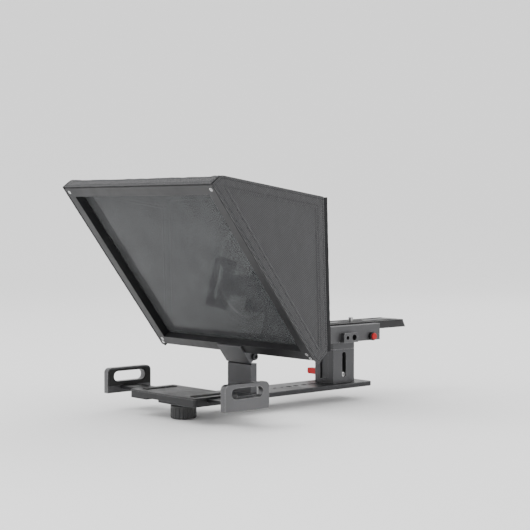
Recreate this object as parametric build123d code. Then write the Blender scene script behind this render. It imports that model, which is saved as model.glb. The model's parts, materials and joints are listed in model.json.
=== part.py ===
"""Tablet teleprompter for a video camera: base plate, tilting mirror with hood, camera riser, tablet holder.

All sizes are in millimetres. The origin is the 3/8 inch tripod thread on the underside of the base plate.
+X is the right-hand side seen from the speaker's place, +Y runs from the speaker to the camera, +Z is up.
"""
from build123d import *
from math import cos, sin, radians, hypot, atan2, degrees
import os

# ---------------------------------------------------------------- fits and standard threads
RUN_FIT = 0.05              # radial clearance of a pin or shaft that turns
SCREW_FIT = 0.05            # radial clearance of a screw in its own hole
MOVE_GAP = 0.3              # gap between pieces that move past each other
INCH_QUARTER_R = 3.175      # 1/4 inch screw, outside
INCH_QUARTER_TAP_R = 2.6    # 1/4 inch tapped hole
INCH_THREE_EIGHTHS_TAP_R = 3.97   # 3/8 inch tapped hole

# ---------------------------------------------------------------- base plate
BASE_WIDTH = 59.0
BASE_THICK = 6.0
BASE_FRONT = 200.0          # from the tripod thread to the speaker's end
BASE_BACK = 110.0           # from the tripod thread to the camera's end
BASE_CORNER = 5.0
BASE_EDGE = 0.6
BASE_SLOT_WIDTH = 6.6
BASE_SLOTS = ((29.0, 17.0), (14.0, 9.0), (-12.0, 9.0))    # centre along Y, length
BASE_TAPPED_Y = (-24.0, -36.0)                            # 1/4 inch tapped holes

# ---------------------------------------------------------------- hinge post
HINGE_Y = -90.0
HINGE_RISE = 45.4           # hinge axis above the base plate
POST_WIDTH = 45.0
POST_THICK = 10.0
KNUCKLE_HALF = 9.4
KNUCKLE_R = 5.0
NECK_THICK = 5.6
HINGE_PIN_R = 2.5
HINGE_WASHER_R = 4.6
HINGE_WASHER_THICK = 0.6
CHEEK_SWEEP_R = 8.2         # furthest corner of the bracket's cheeks from the hinge axis
POST_SCREW_X = 13.0
POST_SCREW_SIZE = (2.5, 4.6)                              # shank radius, head radius
POST_SCREW_BITE = 12.0      # length of the screw above the base plate
POST_BEVEL = 0.8
POST_TOP_BEVEL = 2.0        # clears the bracket's lip as the mirror tilts back
HINGE_HEAD_R = 4.2
HINGE_HEAD_THICK = 3.2
HINGE_HEAD_BEVEL = 0.5
HINGE_SOCKET_R = 2.3
HINGE_SOCKET_DEPTH = 2.0
HINGE_NUT_R = 4.6
HINGE_NUT_THICK = 4.6
HINGE_BOLT_TAIL = 6.0       # bolt beyond the bracket, through the nut

# ---------------------------------------------------------------- mirror frame
TILT = 53.0                 # mirror angle above the horizontal
FRAME_ABOVE_HINGE = 12.2    # along the slope, hinge axis to the frame's bottom edge
FRAME_AHEAD_OF_HINGE = 8.1  # square to the slope, hinge axis to the frame's front face
FRAME_WIDTH = 286.0
FRAME_HEIGHT = 251.0
RAIL_WIDTH = 13.0
FRAME_DEPTH = 15.0
FRAME_BEVEL = 1.0
GLASS_RECESS = 10.0
GLASS_THICK = 2.0
REBATE = 4.5
GASKET_THICK = 0.5
GLASS_EDGE_GAP = 0.3
GASKET_LIP = 0.5            # gasket and retainer stop short of the rails' inner edges
CORNER_PLATE_LEG = 34.0
CORNER_PLATE_INSET = 0.5    # from the frame's outer edges
TOP_PLATE_INSET = 4.0       # from the frame's top edge, clear of the hood's top panel
CORNER_PLATE_THICK = 1.5
CORNER_SCREW_R = 1.25
CORNER_SCREW_HEAD_R = 2.3
CORNER_SCREW_INSET = 6.3    # through screws, from the frame's outer edges
LOWER_LIFT = 3.0            # lower through screws a little further up
EXTRA_SCREW_INSET = (3.6, 3.4)                            # lower corners' second, short screw
EXTRA_SCREW_LENGTH = 8.0

# ---------------------------------------------------------------- bracket between hinge and frame
LIP_THICK = 2.0
LIP_OVERLAP = 11.6          # how far the lip reaches up over the bottom rail
BRACKET_DROP = 3.3          # bracket bottom below the hinge axis, along the slope
BRACKET_SCREW_X = 16.5
BRACKET_SCREW_R = 1.5
BRACKET_SCREW_HEAD_R = 2.6
BRACKET_SCREW_HEAD = 2.4
BRACKET_SCREW_SUNK = 3.0    # head's seat above the bracket's lower end
BRACKET_SCREW_BITE = 6.0    # length of the screw in the bottom rail
BRACKET_BEVEL = 0.5
BRACKET_SCREW_AHEAD = 6.0   # square to the slope, from the hinge axis

# ---------------------------------------------------------------- hood
CLOTH = 1.5                 # thickness of a hood panel
HOOD_TOP_LENGTH = 155.0
HOOD_TOP_DROP = 8.3         # fall of the top panel towards the camera, degrees
HOOD_BELOW_FRAME = 6.0      # how far the side panels hang below the frame, along the slope
HOOD_LOW_AHEAD = 3.0        # lowest point of the side panels, behind the frame's front face
HOOD_BEHIND_FRAME = 6.5     # back panel's lower edge behind the frame, square to the slope
HOOD_LOW_BACK = 4.0         # back panel's lower edge below the frame, along the slope
BACK_PANEL_THICK = 6.0
LENS_RISE = -0.3              # lens axis above the middle of the hood's back
LENS_OPENING_R = 57.0
LENS_RING_WIDTH = 6.0
LENS_RING_THICK = 3.0
SHROUD_LENGTH = 60.0
SHROUD_WALL = 3.0
SHROUD_BULGE = 5.0
SHROUD_NECK_R = 52.0
DRAWCORD_R = 1.4
CORD_LOCK_R = 5.0
CORD_LOCK_LENGTH = 16.0
CORD_LOCK_ROUND = 1.2
FLAP_BELOW_FRAME = 1.0
FLAP_LAP = 6.0              # how far a flap reaches forward under the bottom rail
FLAP_HALF_GAP = 25.0        # half of the opening left for the bracket in the lower flaps

# ---------------------------------------------------------------- riser
RISER_WIDTH = 35.0
RISER_START = 50.2
RISER_LENGTH = 38.3
CHANNEL_HEIGHT = 43.6
CHANNEL_FLOOR = 5.0
TONGUE_WIDTH = 14.0
CAP_HEIGHT = 10.6
RISER_SLOT_WIDTH = 6.8
RISER_SLOT_LOW = 7.2        # slot's lower end above the channel's foot
RISER_LIFT = 26.0
CHANNEL_SCREW_X = 12.2
CHANNEL_SCREW_INSET = 6.5
CHANNEL_SCREW_SIZE = (1.8, 3.4)
CHANNEL_SCREW_BITE = 11.0
RISER_BEVEL = 0.6
TONGUE_INSET = 2.0          # tongue's ends from the riser's ends
LOCK_BOLT_SUNK = 1.5        # bolt's far end inside the riser's side
LOCK_SOCKET_R = 1.7
LOCK_SOCKET_DEPTH = 2.0
LEVER_HUB_R = 6.0
LEVER_HUB_LENGTH = 14.0
LEVER_REACH = 17.0
LEVER_WIDTH = 8.0
LEVER_THICK = 6.0
LEVER_ROUND = 2.5
LEVER_BORE_END = 0.5

# ---------------------------------------------------------------- camera platform
PLATFORM_WIDTH = 68.0
PLATFORM_START = 29.0
PLATFORM_LENGTH = 91.0
PLATFORM_HEIGHT = 21.0
PLATFORM_FLOOR = 13.0
PLATFORM_BEVEL = 1.0
DOVETAIL_TOP_WIDTH = 44.0
DOVETAIL_LEAN = 4.0         # each flank leans in by this much over its height
BOSS_START = 17.5           # from the platform's front end
BOSS_LENGTH = 25.0
BOSS_HEIGHT = 12.5
BOSS_REACH = 7.0
BOSS_ROUND = 3.0
BOSS_HOLE_SPACING = 12.0
BOSS_HOLE_DEPTH = 12.0
JAW_LENGTH = 60.0
JAW_START = 16.0
JAW_OPENING = 1.5
JAW_FOOT = 4.0              # how far the jaw's foot stands out of the platform
JAW_BEVEL = 0.8
JAW_BOLT_DROP = 4.5         # clamp bolt below the dovetail's floor
JAW_FOOT_DROP = 5.0         # foot's lower edge below the clamp bolt
CLAMP_BOLT_R = 2.5
CLAMP_BOLT_TAIL = 12.0      # bolt beyond the jaw's foot
CLAMP_BOLT_INNER = 4.0      # inner end, from the centre
CLAMP_HUB_R = 6.5
CLAMP_HUB_LENGTH = 9.0
CLAMP_LEVER_LENGTH = 34.0
CLAMP_LEVER_WIDTH = 8.0
CLAMP_LEVER_THICK = 5.0
CLAMP_LEVER_ROUND = 3.5
BUTTON_FROM_END = 17.0
BUTTON_HEIGHT = 5.2
BUTTON_R = 4.4
BUTTON_TRAVEL = 2.0
BUTTON_STEM_R = 1.6
BUTTON_PROUD = 6.5
BUTTON_BORE_END = 8.0       # inner end of the stem's bore, from the centre
BUTTON_BEVEL = 0.6
COLLAR_R = 5.5
COLLAR_THICK = 4.5          # how far the collar stands out
COLLAR_SEAT = 1.0
COLLAR_BEVEL = 0.4
SPRING_POCKET = 10.0
SPRING_GAP = 0.9            # between the stem and the middle of the spring's wire
SPRING_TURNS = 5
SPRING_WIRE = 0.3
STOP_PIN_R = 1.2
STOP_PIN_X = 14.0
STOP_GROOVE_DEPTH = 2.0     # groove in the plate's underside
PLATFORM_SCREW_X = 12.2
PLATFORM_SCREW_SIZE = (2.0, 3.6, 3.4)                     # shank radius, head radius, head height
PLATFORM_SCREW_SUNK = 4.0   # head's seat above the slider's underside
PLATFORM_SCREW_BITE = 7.0   # length of the screw in the platform

# ---------------------------------------------------------------- quick-release plate
PLATE_LENGTH = 140.0
PLATE_FRONT_OFFSET = 8.0    # plate's front end behind the platform's
PLATE_PROUD = 2.0           # plate above the platform's rails
PLATE_FORWARD = 6.0         # travel towards the speaker
PLATE_BACKWARD = 20.0       # travel towards the camera's back
PLATE_SIDE_GAP = 0.36       # between the plate and each flank
PAD_WIDTH = 5.0
PAD_THICK = 1.0
PAD_X = 14.0                # middle of each pad
PAD_INSET = 6.0             # from the plate's ends
STUD_PROUD = 5.5
CAMERA_SCREW_HEAD_R = 8.0
CAMERA_SCREW_HEAD_THICK = 3.2
CAMERA_COIN_SLOT = (1.6, 1.4)                             # width and depth of the slot in the head
CAMERA_STUD_BEVEL = 0.6
CAMERA_NECK_R = 2.4         # thinner neck that keeps the screw in its washer
CAMERA_NECK_PROUD = 0.3     # neck's end above the plate's pads
CAMERA_WELL_SHORT = 4.0     # the head's well is this much shorter than the slot and a head
CAMERA_SLOT_LENGTH = 46.0
SCREW_WASHER_THICK = 0.8
CAMERA_SCREW_AT = 62.0      # from the plate's front end

# ---------------------------------------------------------------- tablet holder
HOLDER_CENTRE = -182.0
HOLDER_WIDTH = 124.0
HOLDER_DEPTH = 66.0
HOLDER_SADDLE = 1.7         # how far the sides reach down past the base plate's top
HOLDER_TOP = 8.4            # holder's top above the base plate
COVER_THICK = 1.6
COVER_BEVEL = 0.5
COVER_SCREW = (1.25, 2.3, 4.2)                            # shank radius, head radius, length
COVER_SCREW_INSET = 6.0
HOLDER_CORNER = 3.0
HOLDER_TRAVEL = 50.0
ARM_WIDTH = 27.0
ARM_THICK = 3.6
ARM_FLOOR = 2.6             # solid metal under the arms
ARM_IN = 26.0               # travel towards the middle
INSERT_R = 5.5
INSERT_BOSS_R = 8.0
CLAMP_INNER = 109.0         # clamp plate's inner face from the centre
CLAMP_THICK = 8.0
CLAMP_HEIGHT = 31.0
CLAMP_LENGTH = 66.0
CLAMP_BELOW = 2.1           # clamp's foot below the base plate's top
CLAMP_CORNER = 6.0
CLAMP_SLOT_LENGTH = 47.0
CLAMP_SLOT_HEIGHT = 12.5
CLAMP_SLOT_RISE = 14.0      # slot's lower edge above the clamp's foot
CLAMP_PAD = 1.2
CLAMP_BEVEL = 0.5
CLAMP_PAD_INSET = 2.0       # from the clamp plate's edges
CLAMP_PAD_LIFT = 0.4        # pad's foot above the arm
CLAMP_PAD_SLOT_GAP = 0.8    # pad back from the slot's edge
TENON_LENGTH = 4.0
TENON_INSET = 2.0           # from the arm's sides
TENON_THICK = 2.4
SET_SCREW_R = 1.5
SET_SCREW_IN = 2.2          # from the clamp plate's inner face
SET_SCREW_Y = 7.0
SET_SCREW_SUNK = 0.2
SET_SOCKET_R = 0.85
SET_SOCKET_DEPTH = 1.6
KNOB_R = 15.5
KNOB_HEIGHT = 16.0
KNOB_FLUTES = 20
KNOB_FLUTE_R = 1.3
KNOB_FLUTE_OUT = 0.45       # flutes' middle outside the knob's radius
KNOB_WASHER_R = 9.0
KNOB_WASHER_THICK = 1.0
KNOB_FOOT_ROUND = 2.0
KNOB_TOP_BEVEL = 0.8
KNOB_RIM = 3.0              # smooth rim above the flutes
KNOB_BORE_SHARE = 0.7       # bolt's depth as a share of the knob's height
KNOB_BOLT_SHORT = 0.8       # bolt's end below the cover
KNOB_BOLT_BEVEL = 0.5
HOLDER_PAD_THICK = 0.8
HOLDER_PAD_WIDTH = 8.0
HOLDER_PAD_INSET = (12.0, 10.0)                           # from the holder's ends and sides

# ---------------------------------------------------------------- worked out from the sizes above
HINGE_Z = BASE_THICK + HINGE_RISE
UP_Y, UP_Z = -cos(radians(TILT)), sin(radians(TILT))      # up the slope
OUT_Y, OUT_Z = -sin(radians(TILT)), -cos(radians(TILT))   # out of the frame's front face


def on_slope(up, out):
    """Place in Y and Z of a point given up the slope and out of the front face."""
    up_hinge = up + FRAME_ABOVE_HINGE
    out_hinge = out + FRAME_AHEAD_OF_HINGE
    return (HINGE_Y + UP_Y * up_hinge + OUT_Y * out_hinge, HINGE_Z + UP_Z * up_hinge + OUT_Z * out_hinge)


FRAME_PLANE = Plane(origin=(0, *on_slope(0, 0)), x_dir=(1, 0, 0), z_dir=(0, OUT_Y, OUT_Z))
HINGE_UP = -FRAME_ABOVE_HINGE
HINGE_OUT = -FRAME_AHEAD_OF_HINGE

POST_TOP = HINGE_Z - CHEEK_SWEEP_R - MOVE_GAP
POST_SCREW = (*POST_SCREW_SIZE, BASE_THICK + POST_SCREW_BITE)
CHEEK_INNER = KNUCKLE_HALF + HINGE_WASHER_THICK + MOVE_GAP

THROUGH_SCREW = (CORNER_SCREW_R, CORNER_SCREW_HEAD_R, FRAME_DEPTH + CORNER_PLATE_THICK)
EXTRA_SCREW = (CORNER_SCREW_R, CORNER_SCREW_HEAD_R, EXTRA_SCREW_LENGTH)
BRACKET_SCREW_LENGTH = FRAME_ABOVE_HINGE + BRACKET_SCREW_BITE
BRACKET_SCREW = (BRACKET_SCREW_R, BRACKET_SCREW_HEAD_R, BRACKET_SCREW_HEAD, BRACKET_SCREW_LENGTH)
BRACKET_SCREW_SEAT = HINGE_UP - BRACKET_DROP + BRACKET_SCREW_SUNK
HALF_FRAME = FRAME_WIDTH / 2

RISER_MIDDLE = RISER_START + RISER_LENGTH / 2
CHANNEL_TOP = BASE_THICK + CHANNEL_HEIGHT
LOCK_Z = BASE_THICK + RISER_SLOT_LOW + RISER_SLOT_WIDTH / 2
LOCK_BOLT_R = RISER_SLOT_WIDTH / 2 - MOVE_GAP
CHANNEL_SCREW = (*CHANNEL_SCREW_SIZE, BASE_THICK + CHANNEL_SCREW_BITE)
CAP_BOTTOM = CHANNEL_TOP + MOVE_GAP
PLATFORM_BOTTOM = CAP_BOTTOM + CAP_HEIGHT
PLATFORM_TOP = PLATFORM_BOTTOM + PLATFORM_HEIGHT
PLATFORM_SCREW = (*PLATFORM_SCREW_SIZE, CAP_HEIGHT - PLATFORM_SCREW_SUNK + PLATFORM_SCREW_BITE)
PLATFORM_END = PLATFORM_START + PLATFORM_LENGTH
DOVETAIL_FLOOR = PLATFORM_BOTTOM + PLATFORM_FLOOR
JAW_Y0 = PLATFORM_START + JAW_START
JAW_MIDDLE = JAW_Y0 + JAW_LENGTH / 2
BUTTON_Y = PLATFORM_END - BUTTON_FROM_END
BUTTON_Z = PLATFORM_BOTTOM + BUTTON_HEIGHT
SPRING_SEAT_X = PLATFORM_WIDTH / 2 - SPRING_POCKET
SPRING_R = BUTTON_STEM_R + SPRING_GAP
BOSS_HOLE_Z = PLATFORM_BOTTOM + BOSS_HEIGHT / 2
JAW_BOLT_Z = DOVETAIL_FLOOR - JAW_BOLT_DROP
CLAMP_BOLT_END = -PLATFORM_WIDTH / 2 - JAW_FOOT - CLAMP_BOLT_TAIL
PLATE_START = PLATFORM_START + PLATE_FRONT_OFFSET
PLATE_BOTTOM = DOVETAIL_FLOOR + MOVE_GAP
PLATE_TOP = PLATFORM_TOP + PLATE_PROUD
CAMERA_SCREW_Y = PLATE_START + CAMERA_SCREW_AT
CAMERA_SEAT_Z = PLATE_TOP + PAD_THICK / 2
STUD_START = CAMERA_SEAT_Z + CAMERA_NECK_PROUD
STUD_END = PLATE_TOP + STUD_PROUD
CAMERA_HEAD_ROOM = CAMERA_SCREW_HEAD_THICK + SCREW_WASHER_THICK + 3 * MOVE_GAP

HALF_HOLDER = HOLDER_WIDTH / 2
HOLDER_Y0 = HOLDER_CENTRE - HOLDER_DEPTH / 2
HOLDER_Y1 = HOLDER_CENTRE + HOLDER_DEPTH / 2
HOLDER_SLOT_WIDTH = 2 * (INCH_QUARTER_R + MOVE_GAP)
HOLDER_BOTTOM = BASE_THICK - HOLDER_SADDLE
HOLDER_TOP_Z = BASE_THICK + HOLDER_TOP
COVER_BOTTOM = HOLDER_TOP_Z - COVER_THICK
ARM_BOTTOM = BASE_THICK + MOVE_GAP + ARM_FLOOR
CLAMP_BOTTOM = BASE_THICK - CLAMP_BELOW
CLAMP_SLOT_MIDDLE = CLAMP_BOTTOM + CLAMP_SLOT_RISE + CLAMP_SLOT_HEIGHT / 2
ARM_INNER_END = INSERT_BOSS_R + MOVE_GAP + ARM_IN
KNOB_TOP = -MOVE_GAP - KNOB_WASHER_THICK
KNOB_BORE_END = KNOB_TOP - KNOB_HEIGHT * KNOB_BORE_SHARE
SET_SCREW_LENGTH = ARM_BOTTOM + (ARM_THICK - TENON_THICK) / 2 - CLAMP_BOTTOM


# ---------------------------------------------------------------- helpers
def block(x0, x1, y0, y1, z0, z1):
    """Box between three pairs of faces."""
    return Pos((x0 + x1) / 2, (y0 + y1) / 2, (z0 + z1) / 2) * Box(x1 - x0, y1 - y0, z1 - z0)


def rod_x(x0, x1, y, z, radius):
    """Round bar along X."""
    return Pos((x0 + x1) / 2, y, z) * Rot(0, 90, 0) * Cylinder(radius, x1 - x0)


def rod_z(x, y, z0, z1, radius):
    """Round bar along Z."""
    return Pos(x, y, (z0 + z1) / 2) * Cylinder(radius, z1 - z0)


def slot_z(x, y, length, width, z0, z1):
    """Round-ended bar of slot shape, long way along Y, standing along Z."""
    outline = Rot(0, 0, 90) * SlotOverall(length, width)
    return Pos(x, y, z0) * extrude(outline, z1 - z0)


def slot_x(y, z, length, width, x0, x1, upright=False):
    """Round-ended bar of slot shape lying through along X, long way along Y, or along Z when upright."""
    turn = 90 if upright else 0
    outline = Plane.YZ * Rot(0, 0, turn) * SlotOverall(length, width)
    return Pos(x0, y, z) * extrude(outline, x1 - x0)


def prism_x(points, x0, x1):
    """Solid of the outline points (Y, Z) between two planes square to X."""
    face = make_face(Polyline(*[(x0, y, z) for y, z in points], close=True))
    return extrude(face, x1 - x0, dir=(1, 0, 0))


def both_sides(piece):
    """The piece and its mirror image across the centre plane."""
    return [piece, piece.mirror(Plane.YZ)]


def group(pieces):
    """Separate solids that share one node."""
    return Compound(children=[solid for piece in pieces for solid in piece.solids()])


def without(body, cuts):
    """The body with every cutting shape taken out."""
    for cut in cuts:
        body = body - cut
    return body


def flat_screw(radius, head_radius, length):
    """Countersunk screw, head flush at Z = 0 and shank down, with a hexagon socket."""
    cone = head_radius - radius
    body = Pos(0, 0, -cone / 2) * Cone(radius, head_radius, cone)
    body += rod_z(0, 0, -length, -cone, radius)
    socket = extrude(RegularPolygon(radius * 0.72, 6), -cone)
    return body - socket


def flat_screw_hole(radius, head_radius, length):
    """Hole for a countersunk screw: its cone seats, its shank is free."""
    cone = head_radius - radius
    seat = Pos(0, 0, -cone / 2) * Cone(radius, head_radius, cone)
    return seat + rod_z(0, 0, -length - SCREW_FIT, 0, radius + SCREW_FIT)


def cap_screw(radius, head_radius, head_height, length):
    """Socket-head screw, head above Z = 0 and shank down."""
    body = rod_z(0, 0, 0, head_height, head_radius) + rod_z(0, 0, -length, 0, radius)
    socket = Pos(0, 0, head_height) * extrude(RegularPolygon(head_radius * 0.55, 6), -head_height * 0.6)
    return body - socket


def cap_screw_hole(radius, head_radius, head_height, length):
    """Counterbored hole for a socket-head screw."""
    bore = rod_z(0, 0, 0, head_height + SCREW_FIT, head_radius + SCREW_FIT)
    return bore + rod_z(0, 0, -length - SCREW_FIT, 0, radius + SCREW_FIT)


def bevelled(body, amount, axis=Axis.Z):
    """Body with the edges round its far and near faces along an axis bevelled."""
    ends = body.faces().sort_by(axis)
    return chamfer(ends[-1].edges() + ends[0].edges(), amount)


# ---------------------------------------------------------------- base plate and hinge post
POST_SCREW_PLACES = [Pos(x, HINGE_Y, 0) * Rot(180, 0, 0) for x in (-POST_SCREW_X, POST_SCREW_X)]
CHANNEL_SCREW_PLACES = [
    Pos(x, y, 0) * Rot(180, 0, 0)
    for x in (-CHANNEL_SCREW_X, CHANNEL_SCREW_X)
    for y in (RISER_START + CHANNEL_SCREW_INSET, RISER_START + RISER_LENGTH - CHANNEL_SCREW_INSET)
]


def base_plate():
    middle = (BASE_BACK - BASE_FRONT) / 2
    outline = RectangleRounded(BASE_WIDTH, BASE_BACK + BASE_FRONT, BASE_CORNER)
    plate = Pos(0, middle, 0) * extrude(outline, BASE_THICK)
    plate = bevelled(plate, BASE_EDGE)
    cuts = [slot_z(0, y, length, BASE_SLOT_WIDTH, -1, BASE_THICK + 1) for y, length in BASE_SLOTS]
    cuts += [rod_z(0, y, -1, BASE_THICK + 1, INCH_QUARTER_TAP_R) for y in BASE_TAPPED_Y]
    cuts.append(rod_z(0, 0, -1, BASE_THICK + 1, INCH_THREE_EIGHTHS_TAP_R))
    slot_length = HOLDER_TRAVEL + HOLDER_SLOT_WIDTH
    slot_middle = HOLDER_CENTRE + HOLDER_TRAVEL / 2
    cuts.append(slot_z(0, slot_middle, slot_length, HOLDER_SLOT_WIDTH, -1, BASE_THICK + 1))
    cuts += [place * flat_screw_hole(*POST_SCREW) for place in POST_SCREW_PLACES]
    cuts += [place * flat_screw_hole(*CHANNEL_SCREW) for place in CHANNEL_SCREW_PLACES]
    return without(plate, cuts)


def hinge_post():
    half = POST_WIDTH / 2
    back = HINGE_Y + POST_THICK / 2
    front = HINGE_Y - POST_THICK / 2
    post = block(-half, half, front, back, BASE_THICK, POST_TOP)
    top_edges = post.faces().sort_by(Axis.Z)[-1].edges().filter_by(Axis.X)
    post = chamfer(top_edges.sort_by(Axis.Y)[0], POST_TOP_BEVEL)
    post = chamfer(post.edges().filter_by(Axis.Z), POST_BEVEL)
    neck_half = NECK_THICK / 2
    neck_y = (HINGE_Y - neck_half, HINGE_Y + neck_half)
    post += block(-KNUCKLE_HALF, KNUCKLE_HALF, *neck_y, POST_TOP - 1, HINGE_Z)
    post += rod_x(-KNUCKLE_HALF, KNUCKLE_HALF, HINGE_Y, HINGE_Z, KNUCKLE_R)
    cuts = [rod_x(-half, half, HINGE_Y, HINGE_Z, HINGE_PIN_R + RUN_FIT)]
    cuts += [place * flat_screw_hole(*POST_SCREW) for place in POST_SCREW_PLACES]
    return without(post, cuts)


def post_screws():
    return group([place * flat_screw(*POST_SCREW) for place in POST_SCREW_PLACES])


def hinge_washers():
    outer = KNUCKLE_HALF + HINGE_WASHER_THICK
    washer = rod_x(KNUCKLE_HALF, outer, HINGE_Y, HINGE_Z, HINGE_WASHER_R)
    washer -= rod_x(KNUCKLE_HALF, outer, HINGE_Y, HINGE_Z, HINGE_PIN_R + RUN_FIT)
    return group(both_sides(washer))


# ---------------------------------------------------------------- bracket, in the frame's own plane
def rod_local(x0, x1, radius):
    """Round bar along X on the hinge axis, in the frame's own plane."""
    return rod_x(x0, x1, HINGE_UP, HINGE_OUT, radius)


BRACKET_SCREW_PLACES = [
    Pos(x, BRACKET_SCREW_SEAT, HINGE_OUT + BRACKET_SCREW_AHEAD) * Rot(90, 0, 0)
    for x in (-BRACKET_SCREW_X, BRACKET_SCREW_X)
]


def mirror_bracket():
    half = POST_WIDTH / 2
    low = HINGE_UP - BRACKET_DROP
    body = block(-half, half, low, LIP_OVERLAP, 0, LIP_THICK)
    body = chamfer(body.faces().sort_by(Axis.Z)[-1].edges(), BRACKET_BEVEL)
    body += block(-half, half, HINGE_UP + KNUCKLE_R + 2 * MOVE_GAP, 0, HINGE_OUT, 0)
    for cheek in both_sides(block(CHEEK_INNER, half, low, 0, HINGE_OUT, 0)):
        body += cheek
    for barrel in both_sides(rod_local(CHEEK_INNER, half, KNUCKLE_R)):
        body += barrel
    sweep = rod_local(-half, half, 4 * CHEEK_SWEEP_R) - rod_local(-half, half, CHEEK_SWEEP_R)
    below = block(-half, half, low - 1, HINGE_UP, 2 * HINGE_OUT, -0.01)
    body -= sweep & below
    cuts = [rod_local(-half, half, HINGE_PIN_R + SCREW_FIT)]
    cuts += [place * cap_screw_hole(*BRACKET_SCREW) for place in BRACKET_SCREW_PLACES]
    return FRAME_PLANE.location * without(body, cuts)


def bracket_screws():
    screws = [place * cap_screw(*BRACKET_SCREW) for place in BRACKET_SCREW_PLACES]
    return group([FRAME_PLANE.location * screw for screw in screws])


def hinge_bolt():
    half = POST_WIDTH / 2
    head = rod_local(half, half + HINGE_HEAD_THICK, HINGE_HEAD_R)
    head = chamfer(head.faces().sort_by(Axis.X)[-1].edges(), HINGE_HEAD_BEVEL)
    socket = extrude(RegularPolygon(HINGE_SOCKET_R, 6), -HINGE_SOCKET_DEPTH)
    head -= Pos(half + HINGE_HEAD_THICK, HINGE_UP, HINGE_OUT) * Rot(0, 90, 0) * socket
    return FRAME_PLANE.location * (head + rod_local(-half - HINGE_BOLT_TAIL, half, HINGE_PIN_R))


def hinge_nut():
    half = POST_WIDTH / 2
    hexagon = extrude(RegularPolygon(HINGE_NUT_R, 6), -HINGE_NUT_THICK)
    nut = Pos(-half, HINGE_UP, HINGE_OUT) * Rot(0, 90, 0) * hexagon
    nut -= rod_local(-half - HINGE_BOLT_TAIL, -half, HINGE_PIN_R + SCREW_FIT)
    return FRAME_PLANE.location * nut


# ---------------------------------------------------------------- mirror frame, in its own plane
def opening_box(grow, z0, z1):
    """Box through the frame's opening, grown outwards on all four sides."""
    half = FRAME_WIDTH / 2 - RAIL_WIDTH + grow
    return block(-half, half, RAIL_WIDTH - grow, FRAME_HEIGHT - RAIL_WIDTH + grow, z0, z1)


def corner_screw_spots():
    """Places of the frame's through screws on its front face."""
    x, low = FRAME_WIDTH / 2 - CORNER_SCREW_INSET, CORNER_SCREW_INSET
    return [Pos(side * x, y, 0) for side in (-1, 1) for y in (low + LOWER_LIFT, FRAME_HEIGHT - low)]


def extra_screw_spots():
    """Places of the short second screws at the lower corners."""
    across, up = EXTRA_SCREW_INSET
    return [Pos(side * (FRAME_WIDTH / 2 - across), up, 0) for side in (-1, 1)]


def frame_ring():
    """All four rails as one ring, before the mitres part them."""
    half = FRAME_WIDTH / 2
    ring = block(-half, half, 0, FRAME_HEIGHT, -FRAME_DEPTH, 0)
    ring = chamfer(ring.faces().sort_by(Axis.Z)[-1].edges(), FRAME_BEVEL)
    cuts = [opening_box(0, -FRAME_DEPTH - 1, 1), opening_box(REBATE, -FRAME_DEPTH - 1, -GLASS_RECESS)]
    cuts += [place * flat_screw_hole(*THROUGH_SCREW) for place in corner_screw_spots()]
    cuts += [place * flat_screw_hole(*EXTRA_SCREW) for place in extra_screw_spots()]
    ring = FRAME_PLANE.location * without(ring, cuts)
    for place in BRACKET_SCREW_PLACES:
        ring -= FRAME_PLANE.location * place * cap_screw_hole(*BRACKET_SCREW)
    return ring


def mitred_rail(ring, corners):
    """One rail: the part of the ring over a four-cornered outline."""
    outline = make_face(Polyline(*corners, close=True))
    return ring & (FRAME_PLANE.location * Pos(0, 0, -FRAME_DEPTH) * extrude(outline, FRAME_DEPTH))


def frame_rails():
    """The four rails by name."""
    ring = frame_ring()
    half = FRAME_WIDTH / 2
    inner = half - RAIL_WIDTH
    low, high = RAIL_WIDTH, FRAME_HEIGHT - RAIL_WIDTH
    outlines = {
        "frame_top_rail": ((-half, FRAME_HEIGHT), (half, FRAME_HEIGHT), (inner, high), (-inner, high)),
        "frame_bottom_rail": ((-half, 0), (half, 0), (inner, low), (-inner, low)),
        "frame_left_rail": ((-half, 0), (-inner, low), (-inner, high), (-half, FRAME_HEIGHT)),
        "frame_right_rail": ((half, 0), (inner, low), (inner, high), (half, FRAME_HEIGHT)),
    }
    return {name: mitred_rail(ring, corners) for name, corners in outlines.items()}


def glass_gasket():
    ring = opening_box(REBATE, -GLASS_RECESS - GASKET_THICK, -GLASS_RECESS)
    ring -= opening_box(GASKET_LIP, -GLASS_RECESS - GASKET_THICK, -GLASS_RECESS)
    return FRAME_PLANE.location * ring


def beam_splitter_glass():
    front = -GLASS_RECESS - GASKET_THICK
    return FRAME_PLANE.location * opening_box(REBATE - GLASS_EDGE_GAP, front - GLASS_THICK, front)


def glass_retainer():
    front = -GLASS_RECESS - GASKET_THICK - GLASS_THICK
    ring = opening_box(REBATE, -FRAME_DEPTH, front) - opening_box(GASKET_LIP, -FRAME_DEPTH, front)
    return FRAME_PLANE.location * ring


def frame_corner_plates():
    """Angle plates across the back of the four mitres."""
    outer = FRAME_WIDTH / 2 - CORNER_PLATE_INSET
    back = -FRAME_DEPTH - CORNER_PLATE_THICK
    leg, wide = CORNER_PLATE_LEG, RAIL_WIDTH - CORNER_PLATE_INSET
    plates = []
    for corner, inward in ((CORNER_PLATE_INSET, 1), (FRAME_HEIGHT - TOP_PLATE_INSET, -1)):
        low, high = sorted((corner, corner + inward * leg))
        bar_low, bar_high = sorted((corner, corner + inward * wide))
        plate = block(outer - wide, outer, low, high, back, -FRAME_DEPTH)
        plate += block(outer - leg, outer, bar_low, bar_high, back, -FRAME_DEPTH)
        plates += both_sides(plate)
    holes = [place * flat_screw_hole(*THROUGH_SCREW) for place in corner_screw_spots()]
    return group([FRAME_PLANE.location * without(plate, holes) for plate in plates])


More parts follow.
